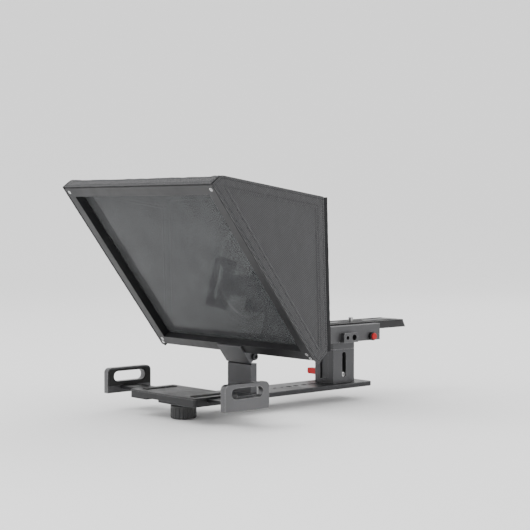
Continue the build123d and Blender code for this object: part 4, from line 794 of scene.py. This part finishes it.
def beads_along(name, runs, stitch, pitch, radius, thread, slant=0.0):
    """Mesh of stitches, or of cord strands, along runs of points in space."""
    vertices, edges = [], []
    for run in runs:
        start = len(vertices)
        vertices += [tuple(p) for p in run]
        edges += [(start + i, start + i + 1) for i in range(len(run) - 1)]
    guide_mesh = bpy.data.meshes.new(name + "_guide")
    guide_mesh.from_pydata(vertices, edges, [])
    guide = added(name + "_guide", guide_mesh)
    rows = guide.modifiers.new("rows", "NODES")
    rows.node_group = bpy.data.node_groups["stitch_rows"]
    values = {"Stitch Length": stitch, "Stitch Pitch": pitch, "Thread Radius": radius, "Slant": slant,
              "Thread": thread}
    for socket in rows.node_group.interface.items_tree:
        if socket.item_type == "SOCKET" and socket.name in values:
            rows[socket.identifier] = values[socket.name]
    bpy.context.view_layer.update()
    plain = bpy.data.meshes.new_from_object(guide.evaluated_get(bpy.context.evaluated_depsgraph_get()))
    bpy.data.objects.remove(guide)
    return added(name, plain)


def thread_runs(panel, lift):
    return [[panel.at(point, lift) for point in run] for run in panel.rows()]


def sewn(name, runs, sizes):
    """Stitches along those runs, as a piece of the hood."""
    stitches = beads_along(name, runs, sizes.stitch, sizes.pitch, sizes.thread,
                           bpy.data.materials["sewing_thread"])
    return finished(stitches, "mirror")


# ---------------------------------------------------------------- operators
class TELEPROMPTER_OT_stage(bpy.types.Operator):
    """Studio floor that curves up all round, soft lights and the camera"""

    bl_idname = "teleprompter.stage"
    bl_label = "Stage"

    def execute(self, context):
        stage = context.scene.teleprompter_stage
        floor_z = CAD_BOX[0][2] - FLOOR_GAP
        profile = [(FLOOR_INNER, 0.0), (FLOOR_FLAT, 0.0)]
        profile += [(FLOOR_FLAT + FLOOR_BEND * sin(a), FLOOR_BEND - FLOOR_BEND * cos(a))
                    for a in (radians(9 * k) for k in range(1, 10))]
        vertices = [Vector((r * cos(t), r * sin(t), floor_z + z)) for r, z in profile
                    for t in turns_of(FLOOR_SIDES)]
        faces = grid_faces(len(profile), FLOOR_SIDES, closed=True) + [tuple(range(FLOOR_SIDES))[::-1]]
        floor = mesh_object("studio_floor", vertices, faces, lambda centre: Vector((0, 0, 1)))
        material, _, shader = new_material("studio_paper")
        shader.inputs["Base Color"].default_value = (*stage.floor, 1.0)
        shader.inputs["Roughness"].default_value = 0.9
        floor.data.materials.append(material)
        low, high = Vector(CAD_BOX[0]), Vector(CAD_BOX[1])
        middle = Vector((0.0, (low.y + high.y) / 2, (low.z + high.z) / 2))
        for name, spot, size in LIGHTS:
            data = bpy.data.lights.new(name + "_light", "AREA")
            data.size = size
            data.energy = getattr(stage, name)
            lamp = added(name + "_light", data)
            lamp.location = spot
            lamp.rotation_euler = (middle - Vector(spot)).to_track_quat("-Z", "Y").to_euler()
        world = bpy.data.worlds.new("studio_air")
        world.use_nodes = True
        world.node_tree.nodes["Background"].inputs["Color"].default_value = (1.0, 1.0, 1.0, 1.0)
        world.node_tree.nodes["Background"].inputs["Strength"].default_value = stage.sky
        context.scene.world = world
        data = bpy.data.cameras.new("camera")
        data.lens = stage.lens
        data.sensor_width = SENSOR_WIDTH
        data.clip_start = CLIP_START
        camera = added("camera", data)
        target = Vector(LOOK_AT)
        away = Vector((sin(stage.azimuth) * cos(stage.elevation), -cos(stage.azimuth) * cos(stage.elevation),
                       sin(stage.elevation)))
        camera.location = target + away * stage.distance
        camera.rotation_euler = (-away).to_track_quat("-Z", "Y").to_euler()
        context.scene.camera = camera
        return {"FINISHED"}


class TELEPROMPTER_OT_finishes(bpy.types.Operator):
    """The materials, the stitch rows' node tree, and the finish of every hard part"""

    bl_idname = "teleprompter.finishes"
    bl_label = "Finishes"

    def execute(self, context):
        c = context.scene.teleprompter_colours
        metal_skin_group()
        twill_group()
        moulded_group()
        stitch_tree()
        finish = {
            "base_anodised": metal("base_anodised", c.base, 0.42, 0.55, 0.6, 0.5),
            "post_anodised": metal("post_anodised", c.post, 0.40, 0.75, 0.7, 0.5),
            # The frame's lighter edge colour is a painted highlight along its bevels, laid on through the
            # edge-wear mask.
            "frame_black": metal("frame_paint", c.frame_paint, 0.46, 0.15, 0.7, 0.55, (0.10, 0.10, 0.105)),
            "platform_grey": metal("platform_blasted", c.platform, 0.46, 0.70, 1.0, 0.4, (0.6, 0.6, 0.6)),
            "clamp_grey": metal("clamp_satin", c.clamp, 0.38, 0.80, 0.6, 0.5, (0.65, 0.65, 0.65)),
            "holder_black": metal("holder_anodised", c.holder, 0.38, 0.45, 0.6, 0.45, (0.2, 0.2, 0.2)),
            "red_anodised": metal("red_anodised", c.red, 0.30, 0.60, 0.4, 0.35, (0.75, 0.16, 0.14)),
            "steel": metal("steel", (0.50, 0.50, 0.50), 0.28, 1.0, 0.4, 0.3, (0.75, 0.75, 0.75)),
            "black_steel": metal(
                "blackened_steel", (0.022, 0.022, 0.024), 0.36, 0.7, 0.4, 0.5, (0.3, 0.3, 0.3)),
            "brass_insert": metal("brass", (0.60, 0.42, 0.16), 0.30, 1.0, 0.4, 0.3, (0.8, 0.62, 0.3)),
            "rubber_black": moulded("rubber", (0.018, 0.018, 0.018), 0.78, 700.0, 0.3, 0.00003, 0.3),
            "plastic_black": moulded("moulded_plastic", (0.020, 0.020, 0.021), 0.42, 1100.0, 0.25, 0.00004),
            "foam": moulded("foam_strip", (0.016, 0.016, 0.017), 0.92, 380.0, 0.2, 0.00020, 0.15),
            "glass": coated_glass(),
            "hood_cloth": woven("hood_twill", c.hood, 0.0026, 0.34, depth=0.00035),
            "black_cloth": woven("black_twill", c.black_cloth, 0.0014, 0.25, sheen=0.05),
        }
        woven("black_trim", c.black_cloth, 0.0012, 0.3, coordinates="Object", sheen=0.06)
        moulded("sewing_thread", c.thread, 0.75, 1600.0, 0.1, 0.00003, 0.3)
        slots = {part["node"]: part["material_slot"] for part in frame["record"]["subparts"]}
        for node, piece in frame["nodes"].items():
            piece.data.materials.clear()
            piece.data.materials.append(finish[slots[node]])
        return {"FINISHED"}


class TELEPROMPTER_OT_hood_sides(bpy.types.Operator):
    """Both side panels of the hood, with their hems and stitches"""

    bl_idname = "teleprompter.hood_sides"
    bl_label = "Hood sides"

    def execute(self, context):
        sizes = context.scene.teleprompter_cloth
        corners = side_corners()
        front_high, top_front, top_back, back_low, lowest, front_low = corners
        grid = patch_grid([front_low, front_high], [back_low, top_back], [front_low, lowest, back_low],
                          [front_high, top_front, top_back], *SIDE_GRID)
        for side, name, seed in ((1, "right", 3.0), (-1, "left", 11.0)):
            node = "hood_%s_panel" % name
            face_x = max(abs(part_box(node)[0].x), abs(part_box(node)[1].x))

            def place(point, height, side=side, face_x=face_x):
                return Vector((side * (face_x + height), point[0], point[1]))

            panel = Panel(corners, place, sizes, sizes.hem, seed, sizes.fullness)
            piece = panel_object("hood_side_" + name, panel, grid, (side, 0, 0), "hood_twill", sizes.thick)
            finished(piece, "mirror", [node])
            stitches = sewn("side_stitches_" + name, thread_runs(panel, STITCH_LIFT), sizes)
        return {"FINISHED"}


class TELEPROMPTER_OT_hood_top(bpy.types.Operator):
    """The hood's top panel, folded over the frame's top rail"""

    bl_idname = "teleprompter.hood_top"
    bl_label = "Hood top"

    def execute(self, context):
        sizes, materials = context.scene.teleprompter_cloth, bpy.data.materials
        front_high, top_front, top_back = side_corners()[:3]
        run_one, fold = direction(front_high, top_front)
        run_two, back = direction(top_front, top_back)
        reach = fold + back
        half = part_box("hood_top_panel")[1].x

        def place(point, height):
            x, s = point
            share = smooth(s, fold - FOLD_ROUND, fold + FOLD_ROUND)
            run = between(run_one, run_two, share)
            size = hypot(*run)
            up = (-run[1] / size, run[0] / size)
            ease = FOLD_EASE * exp(-((s - fold) / FOLD_ROUND) ** 2)
            sag = TOP_SAG * sin(pi * min(1.0, max(0.0, (s - fold) / back))) * cos(pi * x / (2 * half)) ** 2
            lift = height - ease - sag
            if s < fold:
                return on_slope(x, front_high, run_one, s, up, lift)
            return on_slope(x, top_front, run_two, s - fold, up, lift)

        tucked = reach + TOP_TUCK
        corners = rectangle(-half, half, tucked)
        panel = Panel(corners, place, sizes, sizes.hem, 21.0, TOP_FULLNESS)
        grid = rectangle_grid(corners, *TOP_GRID)
        piece = panel_object("hood_top", panel, grid, (0, 0, 1), "hood_twill", sizes.thick)
        finished(piece, "mirror", ["hood_top_panel"])
        stitches = sewn("top_stitches", thread_runs(panel, STITCH_LIFT), sizes)
        for side, name in ((1, "right"), (-1, "left")):
            path = [place((side * (half + PIPING_OUT), reach * k / PIPING_STEPS), -PIPING_SINK)
                    for k in range(PIPING_STEPS + 1)]
            piping = tube("top_piping_" + name, path, PIPING_RADIUS, materials["black_trim"])
            finished(piping, "mirror")
        return {"FINISHED"}


class TELEPROMPTER_OT_hood_back(bpy.types.Operator):
    """The padded back panel with its taped edge and its round lens opening"""

    bl_idname = "teleprompter.hood_back"
    bl_label = "Hood back"

    def execute(self, context):
        sizes = context.scene.teleprompter_cloth
        top_back, back_low = side_corners()[2:4]
        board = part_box("hood_back_panel")
        half = board[1].x
        run, reach = direction(back_low, top_back)
        out = (run[1], -run[0])
        thick = (board[1].y - max(top_back[0], back_low[0])) * run[1]
        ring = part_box("lens_ring")
        lens_z = (ring[0].z + ring[1].z) / 2
        opening = (0.0, (lens_z - back_low[1]) / run[1], ring[1].x - RING_LAP)

        def place(point, height):
            x, s = point
            return on_slope(x, back_low, run, s, out, thick - BACK_SINK + height)

        corners = rectangle(-half, half, reach)
        panel = Panel(corners, place, sizes, sizes.binding, 31.0, BACK_FULLNESS, opening)
        turns = sorted(turns_of(BACK_STEPS)
                       + [atan2(c[1] - opening[1], c[0]) % (2 * pi) for c in corners])
        grid = []
        for share in eased(BACK_RINGS, BACK_EASE):
            row = []
            for turn in turns:
                inner = (opening[2] * cos(turn), opening[1] + opening[2] * sin(turn))
                steps = [limit for limit in (
                    half / abs(cos(turn)) if abs(cos(turn)) > 1e-9 else 9.0,
                    (reach - opening[1]) / sin(turn) if sin(turn) > 1e-9 else 9.0,
                    -opening[1] / sin(turn) if sin(turn) < -1e-9 else 9.0)]
                far = min(steps)
                row.append(between(inner, (far * cos(turn), opening[1] + far * sin(turn)), share))
            grid.append(row)
        piece = panel_object("hood_back", panel, grid, (0, 1, 0), "black_twill", thick + BACK_LAP, True)
        rounded = piece.modifiers.new("soft_edge", "BEVEL")
        rounded.width = 0.0012
        rounded.segments = 2
        rounded.limit_method = "ANGLE"
        rounded.angle_limit = radians(60)
        finished(piece, "mirror", ["hood_back_panel"])
        stitches = sewn("back_stitches", thread_runs(panel, STITCH_LIFT), sizes)
        return {"FINISHED"}


class TELEPROMPTER_OT_hood_flaps(bpy.types.Operator):
    """The two cloth flaps under the hood, one on each side of the bracket"""

    bl_idname = "teleprompter.hood_flaps"
    bl_label = "Hood flaps"

    def execute(self, context):
        sizes, materials = context.scene.teleprompter_cloth, bpy.data.materials
        ends = sorted(outline_of("hood_lower_flaps"))
        front = between(ends[0], ends[1], 0.5)
        back = between(ends[2], ends[3], 0.5)
        run, reach = direction(front, back)
        down = (run[1], -run[0])
        inner = min(abs(v.co.x) for v in frame["nodes"]["hood_lower_flaps"].data.vertices)
        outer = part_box("hood_lower_flaps")[1].x

        def place(point, height):
            x, s = point
            return on_slope(x, front, run, s, down, FLAP_LIFT + FLAP_RELIEF * height)

        vertices, faces, flat, runs = [], [], [], []
        for side in (1, -1):
            corners = rectangle(side * inner, side * outer, reach)
            panel = Panel(corners, place, sizes, FLAP_HEM, 41.0 + side, FLAP_FULLNESS)
            grid = rectangle_grid(corners, *FLAP_GRID)
            start = len(vertices)
            spots = [point for row in grid for point in row]
            vertices += [panel.at(point) for point in spots]
            flat += spots
            quads = grid_faces(len(grid), len(grid[0]))
            faces += [tuple(start + i for i in (quad if side > 0 else quad[::-1])) for quad in quads]
            runs += thread_runs(panel, FLAP_STITCH_LIFT)
        piece = mesh_object("hood_flaps", vertices, faces, lambda centre: Vector((0, down[0], down[1])))
        write_uv(piece, flat)
        piece.data.materials.append(materials["hood_twill"])
        thickened(piece, sizes.thick, materials["black_twill"])
        finished(piece, "mirror", ["hood_lower_flaps"])
        stitches = sewn("flap_stitches", runs, sizes)
        return {"FINISHED"}


class TELEPROMPTER_OT_lens_sleeve(bpy.types.Operator):
    """The cloth sleeve round the lens, gathered on its drawcord"""

    bl_idname = "teleprompter.lens_sleeve"
    bl_label = "Lens sleeve"

    def execute(self, context):
        sizes, materials = context.scene.teleprompter_cloth, bpy.data.materials
        sleeve = context.scene.teleprompter_sleeve
        body, ring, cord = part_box("lens_shroud"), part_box("lens_ring"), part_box("shroud_drawcord")
        start, end = body[0].y, body[1].y
        middle_z = (body[0].z + body[1].z) / 2
        wide = body[1].x - 0.0012
        first = ring[1].x - 0.0006
        neck = (cord[1].x + (cord[0].y - cord[1].y) / 2) + 0.0004

        def profile(share):
            """Radius and Y of the sleeve at a share of its length, with the rolled casing at its end."""
            if share <= SLEEVE_BODY:
                t = share / SLEEVE_BODY
                belly = 2 * wide - (first + neck) / 2
                radius = (1 - t) ** 2 * first + 2 * t * (1 - t) * belly + t * t * neck
                return radius, start + (end - start - 0.0010) * t
            turn = (share - SLEEVE_BODY) / (1 - SLEEVE_BODY) * CASING_TURN * pi
            return neck - SLEEVE_CASING + SLEEVE_CASING * cos(turn), end - 0.0010 + 0.0022 * sin(turn)

        vertices, flat = [], []
        for r in range(SLEEVE_ROWS + 1):
            share = r / SLEEVE_ROWS
            radius, y = profile(share)
            drawn = smooth(share, 0.30, 0.95)
            for turn in turns_of(SLEEVE_COLUMNS):
                wander = noise.noise(Vector((cos(turn) * 2.2, sin(turn) * 2.2, share * 1.4)))
                phase = sleeve.folds * turn + 5.0 * wander
                uneven = noise.noise(Vector((cos(turn) * 5, sin(turn) * 5, 7.0)))
                depth = sleeve.fold_depth * drawn * (0.62 + 0.75 * uneven)
                fold = depth * (sin(phase) - 0.35 * abs(sin(phase * 0.5)) - 0.35)
                ringed = 0.0
                for crease in range(sleeve.creases):
                    drift = noise.noise(Vector((cos(turn) * 1.6, sin(turn) * 1.6, crease * 3.0)))
                    spot = 0.52 + 0.085 * crease + 0.060 * drift
                    ringed -= (0.35 + 1.1 * abs(drift)) * exp(-((share - spot) / 0.020) ** 2)
                ringed *= sleeve.crease_depth
                ridge = SEAM_RIDGE * exp(-(((turn - SEAM_ANGLE + pi) % (2 * pi) - pi) / SEAM_WIDTH) ** 2)
                slack = SLEEVE_SLACK * sin(pi * min(1.0, share / SLEEVE_BODY)) * wander
                reach = radius + fold + ringed + ridge + slack
                vertices.append(on_ring(reach, turn, y, middle_z))
                flat.append((turn * first, share * (end - start + 2 * SLEEVE_LAP)))
        faces = grid_faces(SLEEVE_ROWS + 1, SLEEVE_COLUMNS, closed=True)

        def outward(centre):
            return Vector((centre.x, 0.0, centre.z - middle_z))

        piece = mesh_object("lens_sleeve", vertices, faces, outward)
        write_uv(piece, flat)
        piece.data.materials.append(materials["black_twill"])
        thickened(piece, SLEEVE_THICK)
        finished(piece, "mirror", ["lens_shroud"])
        radius, y = profile(SLEEVE_SEAM)
        seam = [on_ring(radius + SEAM_LIFT, t, y, middle_z) for t in turns_of(ROUND_STEPS, 1)]
        stitches = sewn("sleeve_stitches", [seam], sizes)
        return {"FINISHED"}


class TELEPROMPTER_OT_drawcord(bpy.types.Operator):
    """The twisted elastic drawcord and its toggle"""

    bl_idname = "teleprompter.drawcord"
    bl_label = "Drawcord"

    def execute(self, context):
        materials = bpy.data.materials
        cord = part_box("shroud_drawcord")
        thick = (cord[1].y - cord[0].y) / 2
        radius = cord[1].x - thick
        y, z = (cord[0].y + cord[1].y) / 2, (cord[0].z + cord[1].z) / 2
        path = [on_ring(radius, t, y, z) for t in turns_of(CORD_STEPS, 1)]
        strands = beads_along("drawcord", [path], thick * 3.4, thick * 0.85, thick * 0.62,
                              materials["black_trim"], slant=radians(34))
        finished(strands, "mirror", ["shroud_drawcord"])
        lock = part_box("cord_lock")
        middle, size = (lock[0] + lock[1]) / 2, (lock[1].x - lock[0].x) / 2
        low, tall = lock[0].z, lock[1].z - lock[0].z
        vertices = [Vector((middle.x + r * size * cos(t), middle.y + r * size * sin(t), low + h * tall))
                    for r, h in TOGGLE_SHAPE for t in turns_of(TOGGLE_SIDES)]
        faces = grid_faces(len(TOGGLE_SHAPE), TOGGLE_SIDES, closed=True)
        faces += end_caps(len(TOGGLE_SHAPE), TOGGLE_SIDES)
        toggle = mesh_object("cord_toggle", vertices, faces, lambda centre: Vector(
            (centre.x - middle.x, centre.y - middle.y, 0)))
        toggle.data.materials.append(materials["moulded_plastic"])
        edge = toggle.modifiers.new("soft_edge", "BEVEL")
        edge.width = 0.0003
        edge.segments = 2
        finished(toggle, "mirror", ["cord_lock"])
        return {"FINISHED"}


class TELEPROMPTER_PT_panel(bpy.types.Panel):
    """The teleprompter's sizes and the steps that build it"""

    bl_idname = "TELEPROMPTER_PT_panel"
    bl_label = "Teleprompter"
    bl_space_type = "VIEW_3D"
    bl_region_type = "UI"
    bl_category = "Teleprompter"

    def draw(self, context):
        for step in STEPS:
            self.layout.operator(step.bl_idname)
        for label in SETTINGS:
            settings = getattr(context.scene, label)
            box = self.layout.box()
            for name in settings.__annotations__:
                box.prop(settings, name)


SETTINGS = {
    "teleprompter_colours": TeleprompterColours,
    "teleprompter_cloth": TeleprompterCloth,
    "teleprompter_sleeve": TeleprompterSleeve,
    "teleprompter_stage": TeleprompterStage,
}
STEPS = (
    TELEPROMPTER_OT_stage,
    TELEPROMPTER_OT_finishes,
    TELEPROMPTER_OT_hood_sides,
    TELEPROMPTER_OT_hood_top,
    TELEPROMPTER_OT_hood_back,
    TELEPROMPTER_OT_hood_flaps,
    TELEPROMPTER_OT_lens_sleeve,
    TELEPROMPTER_OT_drawcord,
)


def register():
    for kind in (*SETTINGS.values(), *STEPS, TELEPROMPTER_PT_panel):
        bpy.utils.register_class(kind)
    for label, kind in SETTINGS.items():
        setattr(bpy.types.Scene, label, PointerProperty(type=kind))


def unregister():
    for label in SETTINGS:
        delattr(bpy.types.Scene, label)
    for kind in (TELEPROMPTER_PT_panel, *reversed(STEPS), *SETTINGS.values()):
        bpy.utils.unregister_class(kind)


def main():
    register()
    bpy.ops.teleprompter.stage()
    bpy.ops.teleprompter.finishes()
    bpy.ops.teleprompter.hood_sides()
    bpy.ops.teleprompter.hood_top()
    bpy.ops.teleprompter.hood_back()
    bpy.ops.teleprompter.hood_flaps()
    bpy.ops.teleprompter.lens_sleeve()
    bpy.ops.teleprompter.drawcord()


if __name__ == "__main__":
    main()
